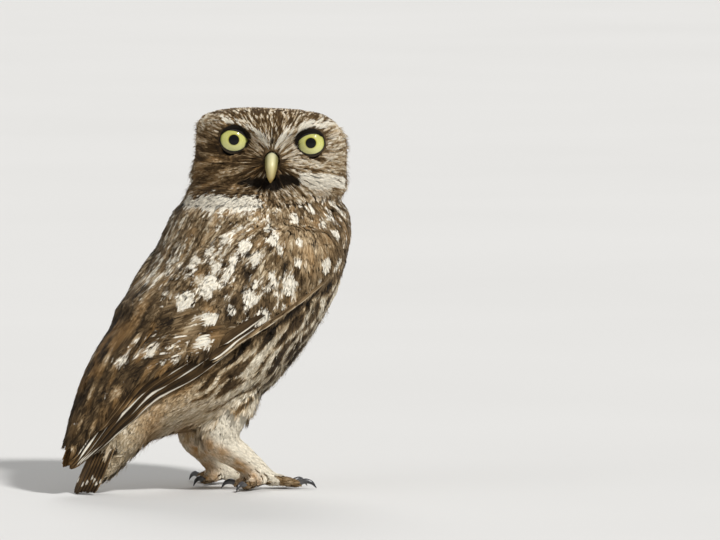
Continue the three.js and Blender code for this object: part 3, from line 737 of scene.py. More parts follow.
streakPlan = {"column": 8.4, "length": 19, "halfWidth": 3.6}
dashPlan = {"column": 4.6, "length": 13, "halfWidth": 1.5}


def columns(across, run, plan):  # how far from the middle of a column, and how far along a mark in it
    index = np.floor(across / plan["column"])
    aside = (across / plan["column"] - index - 0.5) * plan["column"]
    return np.abs(aside), np.sin(np.pi * ((run / plan["length"] + index * 0.618) % 1))


def flankStreaks(girth, run, points):  # drop-shaped streaks down the feather shafts, staggered
    girth = girth + 10 * (grain(points, 15, 31) - 0.5)
    aside, middle = columns(girth, run + 0.9 * streakPlan["length"] * grain(points, 20, 32), streakPlan)
    return streakPlan["halfWidth"] * middle**0.7 * (0.1 + 1.2 * grain(points, 9, 33)) - 0.3 - aside


def hangingDashes(points):  # upright dashes, staggered in rows across the side
    across = sideReach(points) + 5 * (grain(points, 9, 51) - 0.5)
    aside, middle = columns(across, points[:, 2] + 0.4 * dashPlan["length"] * grain(points, 12, 52), dashPlan)
    return (dashPlan["halfWidth"] * middle**0.6 * (0.3 + 1.1 * grain(points, 7, 53)) - 0.35 - aside) * 1.6


rearMarks = np.array([  # on the flight feathers of both wings, given for the right one
    (-61, -16, 77, 2.6, 1.1), (-58, -22, 71.5, 3, 1.2), (-54, -25.5, 72.5, 3, 0.9), (-48, -31, 73.7, 3, 1),
    (-44, -34, 71.7, 3.2, 1), (-39, -36.5, 74.7, 2.6, 1), (-71, -6, 65.6, 3.4, 1.6),
    (-79, -6, 48.8, 3.2, 1.3), (-71.6, -16.5, 51, 2.6, 2), (-69, -13, 64, 2.2, 1.2),
    (-66.6, -18.7, 46.4, 4, 1.3), (-60, -19, 43.2, 3.2, 1.3), (-85, -6, 36.5, 2.6, 1),
    (-82, -9, 33, 2.2, 0.9), (-89, -4, 22, 2.4, 1.6), (-71, -6, 28.3, 3, 1.2),
])


def rearField(points):
    field = np.full(len(points), -3.0)
    for x, y, z, tall, wide in rearMarks:
        for side in sideNames:
            place = np.array([[x, -side * y, z]])
            share, part = wingPlace(place)
            here, above = (wingPoint(side, share, part * wingEdge(share), 0 * share + h)[0] for h in (0, 1))
            way = wingWays(place)[0]
            off = points - place
            aside = off @ unit(np.cross(way, above - here))
            inside = (1.1 - np.hypot(off @ way / tall, aside / wide)) * wide
            near = np.linalg.norm(off, axis=1) < tall + 4
            field = np.where(near, np.maximum(field, inside), field)
    return field


darkMarks = np.array([(44, -32, 131.5, 4.5, 1.6), (41, -33, 134.5, 3.2, 1.5)])
extraMarks = np.array([(-70, 14, 66, 4, 3)])


collar = {"level": 144.4, "slope": 0.03, "halfWidth": 2.9}
backRim = {  # how far round from the spine the back's colour reaches, from vent to neck
    "share": [0, 0.1, 0.25, 0.45, 0.6, 0.72, 0.82, 0.9, 1],
    "degrees": [-30, 20, 70, 84, 98, 126, 150, 186, 190],
}
bodyTones = {"back": 0.51, "bare": 0.67, "belly": 0.91, "streak": 0.08, "rearSpot": 0.76}


def collarField(points):
    band = collar["halfWidth"] - np.abs(points[:, 2] - collar["level"] - collar["slope"] * points[:, 0])
    uneven = 4.6 * (grain(points, (7, 7, 5), 8) - 0.5) + 4 * (grain(fanPlace(points, 1.2, 7), 1, 28) - 0.5)
    threads = 2.6 * (grain(fanPlace(points, 0.8, 7), 1, 29) - 0.5)
    band = np.minimum(band + uneven, 1.2) + threads
    return band - 7 * soft(12, 30, sideReach(points)) - 4 * soft(4, 18, points[:, 1])


def bodyMarks(points, region):
    share, angle = trunkPlace(points)
    wingShare, wingPart = wingPlace(points)
    onWing = region == regionOf["wing"]
    girth, run = np.radians(angle) * 44 * np.sign(points[:, 1]), share * 190
    flat = np.stack([girth, run, 0 * run], 1)
    fanned = soft(60, 85, points[:, 2]) * soft(18, 40, angle)

    def barbs(wide, long, seed, fanSize=None):
        fan = fanPlace(points, *(fanSize or (wide, long)))
        return mix(grain(flat, (wide, long, 1), seed), grain(fan, 1, seed), fanned)

    streak, coarse, dapple = barbs(1.0, 8, 2), barbs(4.5, 9, 14, (4.2, 8)), barbs(2.6, 6, 7)
    loose, broad = streak - 0.5, grain(points, 10, 1)
    rim = np.interp(share, backRim["share"], backRim["degrees"])
    rim += 26 * (grain(points, 9, 61) - 0.5) * soft(0.66, 0.76, share)
    back = np.where(onWing, 1 - soft(0.97, 1.01, wingPart), 1 - soft(-4, 4, angle - rim))
    mantle = soft(20, 0, points[:, 0]) * soft(90, 110, points[:, 2])
    plain = lump(points, (20, 0, 125), (13, np.inf, 10.4)) * (angle > 45)
    rear = soft(0.4, 0.5, wingShare) * onWing
    spot = soft(-0.9, 0.9, rearField(points) + 2.4 * loose) * rear
    blotch = markField(points, blotches)

    above = markField(points + np.array([1.2, 0, 4.6]), blotches)  # painted shade just below and behind each blotch
    backTone = bodyTones["back"] + 0.16 * (broad - 0.5) + 0.28 * (coarse - 0.5) + 0.50 * loose
    # painted shade below each blotch darkens the back there
    backTone -= 0.20 * soft(-0.8, 1.2, above) * soft(0.5, -0.5, blotch)
    backTone -= 0.04 * soft(0.62, 0.35, share) + 0.20 * soft(0.46, 0.6, wingShare) * onWing
    backTone = mix(backTone, bodyTones["bare"] + 0.20 * loose + 0.2 * (broad - 0.5), plain)
    backTone += 0.26 * soft(0.52, 0.68, grain(fanPlace(points, 0.8, 13), 1, 44)) * mantle
    bellyTone = bodyTones["belly"] - 0.08 * soft(0.42, 0.3, share) - 0.12 * soft(0.5, 0.05, share) * broad
    bellyTone += 0.20 * loose * soft(0.1, 0.35, share)
    drops = flankStreaks(girth, run, points) + 1.6 * loose
    drops -= 1.2 * soft(150, 172, angle) * soft(0.7, 0.5, share) + 3 * soft(0.42, 0.3, share)
    bellyTone = mix(bellyTone, bodyTones["streak"] + 0.4 * coarse, soft(-0.8, 0.6, drops))
    # painted shadow on the flank just below the folded wing's lower edge
    lee = hump(wingPart - 1.07, 0.07) * soft(0.08, 0.16, wingShare) * soft(0.66, 0.5, wingShare)
    bellyTone -= lee * (0.25 + 0.5 * coarse)
    tone = mix(mix(bellyTone, backTone, back), bodyTones["rearSpot"], spot)

    dark = np.where(back > 0.5, (0.13 - coarse) * 8 + 2 * loose, -3.0)
    dark = np.maximum(dark, np.minimum(markField(points, darkMarks), 0.3) + 1.5 * loose)
    pale = np.clip(blotch * 2.2, -4, 1.4) + 1.5 * loose
    pale = np.maximum(pale, np.minimum((dapple - 0.84) * 9, 0.3) + 2 * loose)
    pale = np.maximum(pale, np.minimum((streak - mix(0.80, 0.68, mantle)) * 6, 0.1))
    pale = np.maximum(mix(pale, blotch, plain), markField(points, extraMarks) + 2 * loose)
    throat = soft(124, 134, points[:, 2]) * soft(8, 22, points[:, 0])
    pale = np.maximum(pale, throat * 3 - 3 + np.minimum((dapple - 0.64) * 9, 0.5) + 2 * loose)
    drips = hump(wingShare - 0.66 + 0.22 * wingPart, 0.055) * onWing * soft(0.15, 0.35, wingPart)
    comb = hangingDashes(points) + 1.4 * loose
    pale = np.maximum(pale, mix(-3, np.minimum(comb - 0.3, 0.25), soft(0.2, 0.6, drips)))
    pale = mix(pale, np.minimum(pale, comb - 1.2), rear * (1 - soft(0.1, 0.4, drips)))
    pale = np.maximum(np.where(back > 0.3, pale, -3), collarField(points))
    warm = 0.55 * soft(0.46, 0.3, share) * (1 - back) * broad + 0.25 * back * soft(0.55, 0.8, coarse)
    warm = warm * (1 - soft(0.2, 0.1, share)) + 0.35 * plain * broad
    return tone, pale, dark, warm + 0.2 * spot + 0.12 * rear * soft(0.5, 0.75, coarse)


def headMarks(points, region):
    forward, aside, up = toHead(points).T
    wide = np.abs(aside)
    face = soft(2, 12, forward)
    turn = np.arctan2(up - eyes["level"], wide - eyes["spacing"] / 2)
    toEye = np.hypot(wide - eyes["spacing"] / 2, up - eyes["level"])
    rays = grain(np.stack([turn * 11, toEye * 0.16, np.sign(aside) * 9], 1), 1, 3)
    fromBill = np.arctan2(up + 3, wide)
    reach = np.hypot(up + 3, wide)
    bristles = grain(np.stack([fromBill * 13, reach * 0.14, np.sign(aside) * 7], 1), 1, 23)
    hairs = grain(np.stack([fromBill * 34, reach * 0.2, np.sign(aside) * 7], 1), 1, 24)
    over = np.arctan2(aside, up + 6)
    arc = np.degrees(np.arctan2(np.hypot(aside, up), forward)) * 0.45
    flat = np.stack([over * 24, arc, np.zeros(len(points))], 1)
    behind = soft(0, -14, forward)
    local = np.stack([forward, aside, up], 1)
    dashes = mix(grain(flat, (0.6, 2.4, 1), 4), grain(local, (1.0, 0.8, 2.8), 4), behind)
    spots = mix(grain(flat, (2.4, 3.6, 1), 6), grain(local, (2.2, 2.0, 3.6), 6), behind)
    brow = browLine(aside)
    crown = soft(-0.5, 1.5, up - brow) * face + (1 - face)
    crownTone = mix(0.15 + 0.24 * (grain(points, 4, 9) - 0.5), 0.92, soft(0.53, 0.66, dashes))
    # painted light and shade: the face is toned darker on the bird's right, its shaded side, and lighter on
    # its left
    side = mix(0.38, 0.74, soft(-10, 14, aside))
    strands = mix(rays, bristles, 0.3 + 0.6 * soft(10, 15, toEye))
    faceTone = side + 1.1 * (strands - 0.5) + 0.5 * (hairs - 0.5) + 0.10 * soft(20, 34, aside)
    faceTone += 0.34 * oval(wide, up, (8, 5), (6, 6))
    # painted shade round and below the right eye, on the face's shaded side
    faceTone -= 0.22 * hump(toEye - 9, 3) * soft(4, -6, up - eyes["level"]) * soft(8, -8, aside)
    faceTone -= 0.36 * oval(wide, up, (6, -6), (4.5, 6.5)) + 0.30 * oval(aside, up, (-34, -11), (6, 7))
    temple = oval(aside, up, (-35, 15), (7, 6))
    tone = mix(mix(faceTone, crownTone, crown), 0.62 + 0.9 * (dashes - 0.5), temple)
    pale = (1 - face) * (np.minimum((spots - 0.70) * 9, 0.5) + (dashes - 0.5) * 4) - 3 * face
    breadth = mix(0.9, 2.0, soft(-2, 8, aside)) + 0.5 * hump(wide - 7, 5)
    browBand = breadth - np.abs(up - brow) - 3 * soft(27, 33, wide) - 3 * soft(12, 6, forward)
    browBand = np.minimum(browBand - 2 * soft(2.5, 0.5, wide), 0.9)
    tone += 0.22 * hump(up - brow - 1, 3.5) * soft(8, 12, forward)
    pale = np.maximum(pale, browBand + (bristles - 0.5) * 2.8 + (hairs - 0.5) * 4.4 - 0.1)
    # the white moustache is kept off the bird's right cheek: painted shade on that side of the face
    cheek = 3.3 - np.abs(up + 10.6 + 0.03 * wide) - 4 * soft(17, 11, wide) - 7 * soft(10, -4, aside)
    cheek = np.minimum(cheek, 1.5) - 6 * (1 - face)
    pale = np.maximum(pale, cheek + (bristles - 0.5) * 3.2 + (hairs - 0.5) * 2.4 + 0.3)
    # black under the bill: the dark gape and chin feathers, with painted shadow under the bill
    lobes = [(9, -11.8, 5.6, 2.6), (-8, -13.6, 6.6, 1.8), (1, -14, 6, 2.6)]
    gapeAndPaintedShadow = np.max([(1 - np.hypot((aside - y) / a, (up - z) / b)) * b for y, z, a, b in lobes], axis=0)
    # a dark ring of feathers round each eye, wider at the inner corner; its further reach above the eye is
    # painted shadow under the brow
    socket = 6.4 - toEye + 1.5 * soft(-2, 5, up - eyes["level"])
    socket += 1.8 * soft(-3, -6, wide - eyes["spacing"] / 2) * soft(6, 0, np.abs(up - eyes["level"]))
    dark = np.maximum(gapeAndPaintedShadow + (bristles - 0.5) * 2.0 + 0.5, socket) - 12 * (1 - face)
    dark = np.maximum(dark, 1.0 - np.hypot(aside * 0.9, (up - 7.5) * 0.5) - 2 * (1 - face))
    pale = np.maximum(pale, collarField(points))
    return tone, pale, dark, 0.10 + 0.3 * soft(0.55, 0.85, strands) * (1 - crown)


legTones = {"leg": 1.10, "rear": -0.14, "toe": 0.58}


def legMarks(points, region):
    ball, heel = (np.where(points[:, 1] > 0, legs[k][1][0], legs[k][-1][0]) for k in ("ball", "heel"))
    rear = soft(-1, 7, mix(ball, heel, np.clip((points[:, 2] - 7.5) / 18, 0, 1.4)) - points[:, 0])
    uneven = grain(points, 3, 12)
    onToe = region == regionOf["toe"]
    tone = legTones["leg"] + legTones["rear"] * rear + 0.08 * (uneven - 0.5)
    tone = np.where(onToe, legTones["toe"] + 0.5 * (uneven - 0.5), tone)
    blank = np.full(len(points), -3.0)
    return tone, blank, blank, np.where(onToe, 0.20, 0.05 + 1.0 * rear * uneven)


def marks(points, region):
    fields = np.zeros((4, len(points)))
    onHead = region == regionOf["head"]
    onLeg = (region >= regionOf["thigh"])
    for mask, paint in ((onHead, headMarks), (~onHead & ~onLeg, bodyMarks), (onLeg, legMarks)):
        if mask.any():
            fields[:, mask] = paint(points[mask], region[mask])
    return dict(zip(("tone", "pale", "dark", "warm"), fields))


skin = Skin()
for field, values in marks(skin.points, skin.region).items():
    layer = skin.piece.data.attributes.new(field, "FLOAT", "POINT")
    # the skin's tone is painted a fifth darker than the feathers': painted shade in the gaps between them
    layer.data.foreach_set("value", (values * (0.8 if field == "tone" else 1)).astype(np.float32))
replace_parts(skin.piece, *fleshNodes)


# Feathers

floorGap = 0.05  # nothing comes nearer to the floor
patchSize = 0.003  # of a tuft on the skin's unwrap


def profile(share, point):  # a vane's width along its length
    early = 0.7 + 0.3 * soft(0, 0.5, share)
    late = np.sqrt(np.clip(1 - (np.clip(share - 0.5, 0, None) / (0.5 + point)) ** 2, 0, 1))
    return early * late


def feathers(name, lines, ups, lengths, regionsOf, roots, style, slot="plumage", marker=marks):
    count, steps = lines.shape[0], lines.shape[1] - 1
    per = style["barbs"]
    order = np.linspace(0, 1, per)
    start = mix(style.get("first", 0.2), style.get("last", 0.8), order)
    reach = np.minimum(start + style.get("sweep", 0.32) * (1.1 - 0.3 * order), 1.0)
    side = np.concatenate([-np.ones(per), [0.0], np.ones(per)])
    begin = np.concatenate([start, [0.12], start])
    end = np.concatenate([reach, [1.04], reach])
    barbCount = len(side)
    lengths = lengths[:, None]
    width = lengths * style["slim"]
    end = end + dice.normal(0, style.get("stray", 0.035), (count, barbCount))
    begin = np.broadcast_to(begin, end.shape)
    far = side * width * profile(np.clip(end, 0, 1), 0.05) * (1 + dice.normal(0, 0.08, end.shape))
    far = far + dice.normal(0, 0.12, end.shape) * width
    half = style["barbWidth"] * (1 + dice.normal(0, 0.12, end.shape))
    tuft = dice.random((count, 1))
    strand = dice.random(end.shape)
    wave = dice.normal(0, style.get("ruffle", 0.14), end.shape)
    part, across, taper = np.array([(0, -1, 0.8), (0, 1, 0.8), (0.55, -1, 1), (0.55, 1, 1), (1, 0, 0)]).T
    shares = begin[..., None] + (end - begin)[..., None] * part
    acrossMm = far[..., None] * part**0.8
    runAlong, runAcross = ((end - begin) * lengths)[..., None], far[..., None]
    shift = across * taper * half[..., None] / np.hypot(runAlong, runAcross)
    sharesOut = shares - shift * runAcross / lengths[..., None]
    acrossOut = acrossMm + shift * runAlong
    lift = style["rise"] * np.clip(sharesOut, 0, 1.1) ** 0.8 + style.get("sink", -0.5)
    lift = lift + wave[..., None] * part - 0.12 * acrossOut**2 / width[..., None]
    if "raise" in style:
        lift = lift + style["raise"](lines[:, 0])[:, None, None] * np.clip(sharesOut, 0, 1) ** 1.5

    def placed(share, sideways, height):
        spot = np.clip(share * steps, 0, steps * 1.06)
        low = np.minimum(spot.astype(int), steps - 1)
        blend = (spot - low)[..., None]
        rows = np.arange(count)[:, None, None]
        here, there = lines[rows, low], lines[rows, low + 1]
        up = unit(mix(ups[rows, low], ups[rows, low + 1], blend))
        aside = unit(np.cross(up, there - here))
        return mix(here, there, blend) + aside * sideways[..., None] + up * height[..., None]

    points = placed(sharesOut, acrossOut, lift).reshape(-1, 3)
    points[:, 2] = np.maximum(points[:, 2], floorGap)
    regionRows = np.repeat(regionsOf, barbCount * 3)

    def marked(gather):  # read on the coat's own level, three places to a barb
        spots, aside = shares[..., [0, 2, 4]], acrossMm[..., [0, 2, 4]] * gather
        return marker(placed(spots, aside, np.ones(spots.shape)).reshape(-1, 3), regionRows)

    fields = marked(1)
    if "gather" in style:  # a mark keeps to whole feathers, not to single barbs
        whole = marked(style["gather"])
        fields["pale"], fields["dark"] = whole["pale"], whole["dark"]
    own = np.repeat(tuft.ravel() - 0.5, barbCount * 3) * style.get("vary", 0.15)
    fields["tone"] = fields["tone"] + own
    fields["pale"] = fields["pale"] + 2.5 * own
    fields = {k: v.reshape(count, barbCount, 3)[..., [0, 0, 1, 1, 2]] for k, v in fields.items()}
    shaft = style.get("shaft", 0) * (np.arange(barbCount) == per)[:, None]
    fields["tone"], fields["pale"] = fields["tone"] - shaft, fields["pale"] - 5 * shaft
    fields["along"], fields["across"] = np.clip(sharesOut, 0, 1), acrossOut / width[..., None]
    fields["tuft"], fields["strand"] = tuft[..., None], strand[..., None]
    fields = {k: np.broadcast_to(v, sharesOut.shape).ravel() for k, v in fields.items()}
    patch = np.stack([fields["across"], fields["along"] * 2 - 1], 1) * patchSize / 2
    patch += np.repeat(roots, barbCount * 5, axis=0)
    base = np.arange(count * barbCount)[:, None, None] * 5
    corners = (base + np.array([[0, 1, 3], [0, 3, 2], [2, 3, 4]])).reshape(-1, 3)
    return newPiece(name, points, corners, plumage, fields, patch, slot)


def coat(name, style):
    faces, shares, places = skin.pickRoots(style["where"], style["spacing"])
    lengths = style["length"] * (1 + dice.normal(0, 0.1, len(faces)))
    if "scale" in style:
        lengths = lengths * style["scale"](places)
    lines, ups = skin.march(faces, places, lengths, 4)
    nodes = skin.region[skin.triangles[faces, 0]]
    roots = np.einsum("ij,ijk->ik", shares, skin.patches[faces])
    feathers(name, lines, ups, lengths, nodes, roots, style, style.get("slot", "plumage"))


def fluff(places):  # loose down stands out behind the legs and at the vent
    share, angle = trunkPlace(places)
    return 1.4 * soft(120, 150, angle) * soft(0.75, 0.5, share)


def ventScale(places):
    return 1 - 0.3 * soft(0.16, 0.04, trunkPlace(places)[0])


def faceScale(places):
    local = toHead(places)
    return 0.72 + 0.5 * soft(14, -14, local[:, 0])


forward, aside, up = toHead(skin.centres).T
height = skin.centres[:, 2]
trunkShare, trunkAngle = trunkPlace(skin.centres)
wingShare, wingPart = wingPlace(skin.centres)
nodeAt = skin.region[skin.triangles[:, 0]]
on = {name: nodeAt == index for name, index in regionOf.items()}
toEye = np.hypot(np.abs(aside) - eyes["spacing"] / 2, up - eyes["level"])
coats = {
    "face_feathers": {
        "where": on["head"] & (forward > 8) & (toEye > 6.3 + (up > eyes["level"])),
        "spacing": 1.05, "length": 6.2, "slim": 0.14, "barbs": 4, "barbWidth": 0.2, "first": 0.1, "last": 0.5,
        "sweep": 0.6, "rise": 1.5, "scale": faceScale, "vary": 0.5,
    },
    "bill_bristles": {
        "where": on["head"] & (forward > 18) & (np.hypot(aside, (up + 5) * 0.8) < 10),
        "spacing": 1.1, "length": 8.0, "slim": 0.035, "barbs": 1, "barbWidth": 0.1, "rise": 2.6, "vary": 1.3,
        "stray": 0.2, "ruffle": 0.5,
    },
    "head_wisps": {
        "where": on["head"] & (np.abs(aside) > 25) & (up < 16),
        "spacing": 2.2, "length": 7, "slim": 0.06, "barbs": 1, "barbWidth": 0.09, "rise": 1.9, "sink": 0.3,
        "vary": 0.5, "stray": 0.25, "ruffle": 0.6,
    },
    "belly_wisps": {
        "where": on["torso"] & (trunkAngle > 105) & (trunkShare < 0.75) & (height > 14),
        "spacing": 3.2, "length": 11, "slim": 0.06, "barbs": 2, "barbWidth": 0.12, "rise": 3.0, "sink": 0.3,
        "vary": 0.1, "raise": fluff, "stray": 0.2, "ruffle": 0.7,
    },
    "crown_feathers": {
        "where": on["head"] & (forward <= 9),
        "spacing": 1.6, "length": 7.5, "slim": 0.2, "barbs": 6, "barbWidth": 0.3, "sweep": 0.5, "rise": 1.4,
        "vary": 0.25,
    },
    "neck_feathers": {
        "where": on["neck"],
        "spacing": 2.0, "length": 10.5, "slim": 0.2, "barbs": 8, "barbWidth": 0.38, "sweep": 0.5, "rise": 2.3,
        "gather": 0.5, "vary": 0.2,
    },
    "back_feathers": {
        "where": on["torso"] & (trunkAngle < 95),
        "spacing": 2.2, "length": 13, "slim": 0.2, "barbs": 10, "barbWidth": 0.4, "sweep": 0.5, "rise": 3.0,
        "gather": 0.5, "vary": 0.2,
    },
    "breast_feathers": {
        "where": on["torso"] & (trunkAngle >= 95) | on["wing"] & (wingPart > 1.03) & (wingShare < 0.6),
        "spacing": 2.2, "length": 13, "slim": 0.19, "barbs": 9, "barbWidth": 0.36, "sweep": 0.5, "rise": 2.8,
        "scale": ventScale, "raise": fluff, "stray": 0.05, "gather": 0.7, "vary": 0.12,
    },
    "leg_feathers": {
        "where": on["thigh"] | on["shank"],
        "spacing": 1.4, "length": 6.2, "slim": 0.2, "barbs": 5, "barbWidth": 0.3, "sweep": 0.5, "rise": 1.1,
        "vary": 0.08, "slot": "leg_down",
    },
    "toe_feathers": {
        "where": on["toe"] & (height > 1.2),
        "spacing": 1.05, "length": 3.4, "slim": 0.16, "barbs": 3, "barbWidth": 0.2, "sweep": 0.6, "rise": 1.0,
        "slot": "toe_skin",
    },
}
for side, word in sideNames.items():
    coats[f"{word}_coverts"] = {
        "where": on["wing"] & (skin.centres[:, 1] * side > 0) & (wingPart < 0.96)
        & (wingShare < 0.6 - 0.1 * soft(0.3, 0.8, wingPart)),
        "spacing": 2.2, "length": 13.5, "slim": 0.22, "barbs": 12, "barbWidth": 0.4, "sweep": 0.5,
        "rise": 3.0, "shaft": 0.06, "gather": 0.4, "vary": 0.22,
    }
for coatName, coatStyle in coats.items():
    coat(coatName, coatStyle)


def layTufts(name, lines, ups, region, style, marker=marks):  # feathers on lines of their own
    lengths = np.linalg.norm(np.diff(lines, axis=1), axis=2).sum(1)
    nodes = np.full(len(lines), regionOf[region])
    roots = skin.patches[[skin.tree.find_nearest(p)[2] for p in lines[:, 0].tolist()]].mean(1)
    feathers(name, lines, ups, lengths, nodes, roots, style, marker=marker)


def layOnWing(name, side, share, down, level, style):
    lines = wingPoint(side, share, down, level)
    layTufts(name, lines, wingPoint(side, share, down, level + 1) - lines, "wing", style)


coverRows = {  # roots and tips as shares along the wing and down it
    "greater": {"count": 12, "roots": [0.36, 0.3], "tips": [0.64, 0.5], "rootDown": [0.14, 0.84],
                "tipDown": [0.22, 0.84]},
    "secondary": {"count": 9, "roots": [0.52, 0.4], "tips": [0.77, 0.64], "rootDown": [0.02, 0.62],
                  "tipDown": [0.04, 0.66]},
}
coverStyle = {"slim": 0.13, "barbs": 24, "barbWidth": 0.45, "first": 0.3, "last": 0.86, "sweep": 0.2,
              "rise": 2.4, "sink": -1.0, "shaft": 0.08, "ruffle": 0.08, "stray": 0.012, "gather": 0.5,
              "vary": 0.3}


def coverFeathers(side, word):
    row = coverRows[word]
    count = row["count"]
    roots, tips, rootDown, tipDown = (np.linspace(*row[k], count)
                                      for k in ("roots", "tips", "rootDown", "tipDown"))
    share = np.linspace(roots, tips + dice.normal(0, 0.008, count), 9, axis=1)
    down = np.linspace(rootDown, tipDown, 9, axis=1) * wingEdge(share)
    layOnWing(f"{sideNames[side]}_{word}_coverts", side, share, down, 0 * share, coverStyle)


for side in sideNames:
    for word in coverRows:
        coverFeathers(side, word)

rearStyle = {
    "tries": 5000, "spacing": 2.3, "slim": 0.2, "barbs": 9, "barbWidth": 0.38, "sweep": 0.5, "rise": 1.7,
    "sink": -0.3, "gather": 0.6, "vary": 0.3, "shaft": 0.05,
    "top": ([0.33, 0.5, 0.62], [-0.2, -0.2, -0.06]),  # shares along the wing, and parts of the way down it
    "bottom": ([0.33, 0.435, 0.44, 0.55, 0.66, 0.8], [0.2, 0.3, 0.86, 0.68, 0.5, 0.3]),
}


def rearTufts(side):  # small feathers that lie over the roots of the flight feathers
    share = dice.uniform(0.33, 0.80, rearStyle["tries"])
    top, bottom = (np.interp(share, *rearStyle[k]) for k in ("top", "bottom"))
    part = mix(top, bottom, dice.random(len(share)))
    places = wingPoint(side, share, part * wingEdge(share), 0 * share)
    kept = thinned(places, rearStyle["spacing"])
    kept = kept[(part[kept] < 0.3) | (share[kept] > 0.44 + 0.08 * grain(places[kept], 6, 81))]
    share, part = share[kept, None], part[kept, None]
    shares = share + np.linspace(0, 0.085, 5) * (1 + dice.normal(0, 0.1, share.shape))
    downs = part * wingEdge(share) + np.linspace(0, 0.05, 5) * dice.normal(0, 1, share.shape)
    inner, outer = mix(-4.6, 1.3, soft(0.34, 0.56, shares)), mix(-1.8, 1.3, soft(0.44, 0.7, shares))
    level = mix(inner, outer, soft(0.22, 0.42, part))
    layOnWing(f"{sideNames[side]}_rear_coverts", side, shares, downs, level, rearStyle)


for side in sideNames:
    rearTufts(side)

underStyle = {"slim": 0.17, "barbs": 9, "barbWidth": 0.36, "sweep": 0.6, "rise": 1.6, "sink": -0.8,
              "vary": 0.12, "stray": 0.06, "ruffle": 0.3, "turns": 66, "starts": [0.1, 0.22, 0.33],
              "depths": [0.35, 0.7, 1.0]}


def downMarks(points, region):
    uneven = grain(points, 6, 71)
    blank = np.full(len(points), -3.0)
    return {"tone": 0.86 + 0.1 * (uneven - 0.5), "pale": blank, "dark": blank, "warm": 0.35 * uneven}


def undertailTufts():  # down that closes the gap between the vent and the tail
    turns = np.linspace(-underStyle["turns"], underStyle["turns"], 8)
    turn, start, depth = (a.ravel() for a in np.meshgrid(turns, underStyle["starts"], underStyle["depths"]))
    turn = np.radians(turn + dice.normal(0, 4, len(turn)))
    share = start[:, None] + np.linspace(0, 0.32, 5)
    axis = np.array(tail["root"], float) + share[..., None] * np.array([-25, 0, -50.0])
    deep = (1.5 + 9.5 * depth[:, None] * (1 - 0.75 * share)) * np.cos(turn)[:, None]
    wide = (10 - 1.5 * share) * np.sin(turn)[:, None]
    under, aside = unit(np.array([50, 0, -25.0])), np.array([0, 1.0, 0])
    lines = axis + deep[..., None] * under + wide[..., None] * aside
    ups = np.cos(turn)[:, None, None] * under + np.sin(turn)[:, None, None] * aside + 0 * lines
    layTufts("undertail_feathers", lines, ups, "torso", underStyle, marker=downMarks)


tail = {
    "root": (-60, 0, 50), "tip": (-85, 0, 0), "rootWidth": 9, "tipWidth": 13.5, "pairs": 6, "halfWidth": 3.4,
    "step": 0.85, "tone": 0.0, "notch": 13, "bar": -1.4, "edge": 0.12, "vary": 0.1, "lines": 0.2,
    "shown": [0.7, 0.7], "rim": 0, "bars": 0.13, "edgeTone": 0.08, "spot": 8,
}
undertailTufts()


# Flight and tail feathers: closed thin vanes

def vane(placeAt, rows, columns, thickness):
    share, across = np.meshgrid(np.linspace(0, 1, rows), columns, indexing="ij")
    top, under = placeAt(share, across, 0 * share), placeAt(share, across, 0 * share - thickness)
    sections = np.concatenate([top, under[:, ::-1]], axis=1)
    points, corners = lofted(sections)
    along = np.concatenate([share, share[:, ::-1]], axis=1).ravel()
    sideways = np.concatenate([across, across[:, ::-1]], axis=1).ravel()
    return points, corners, np.append(along, [0, 1]), np.append(sideways, [0, 0])


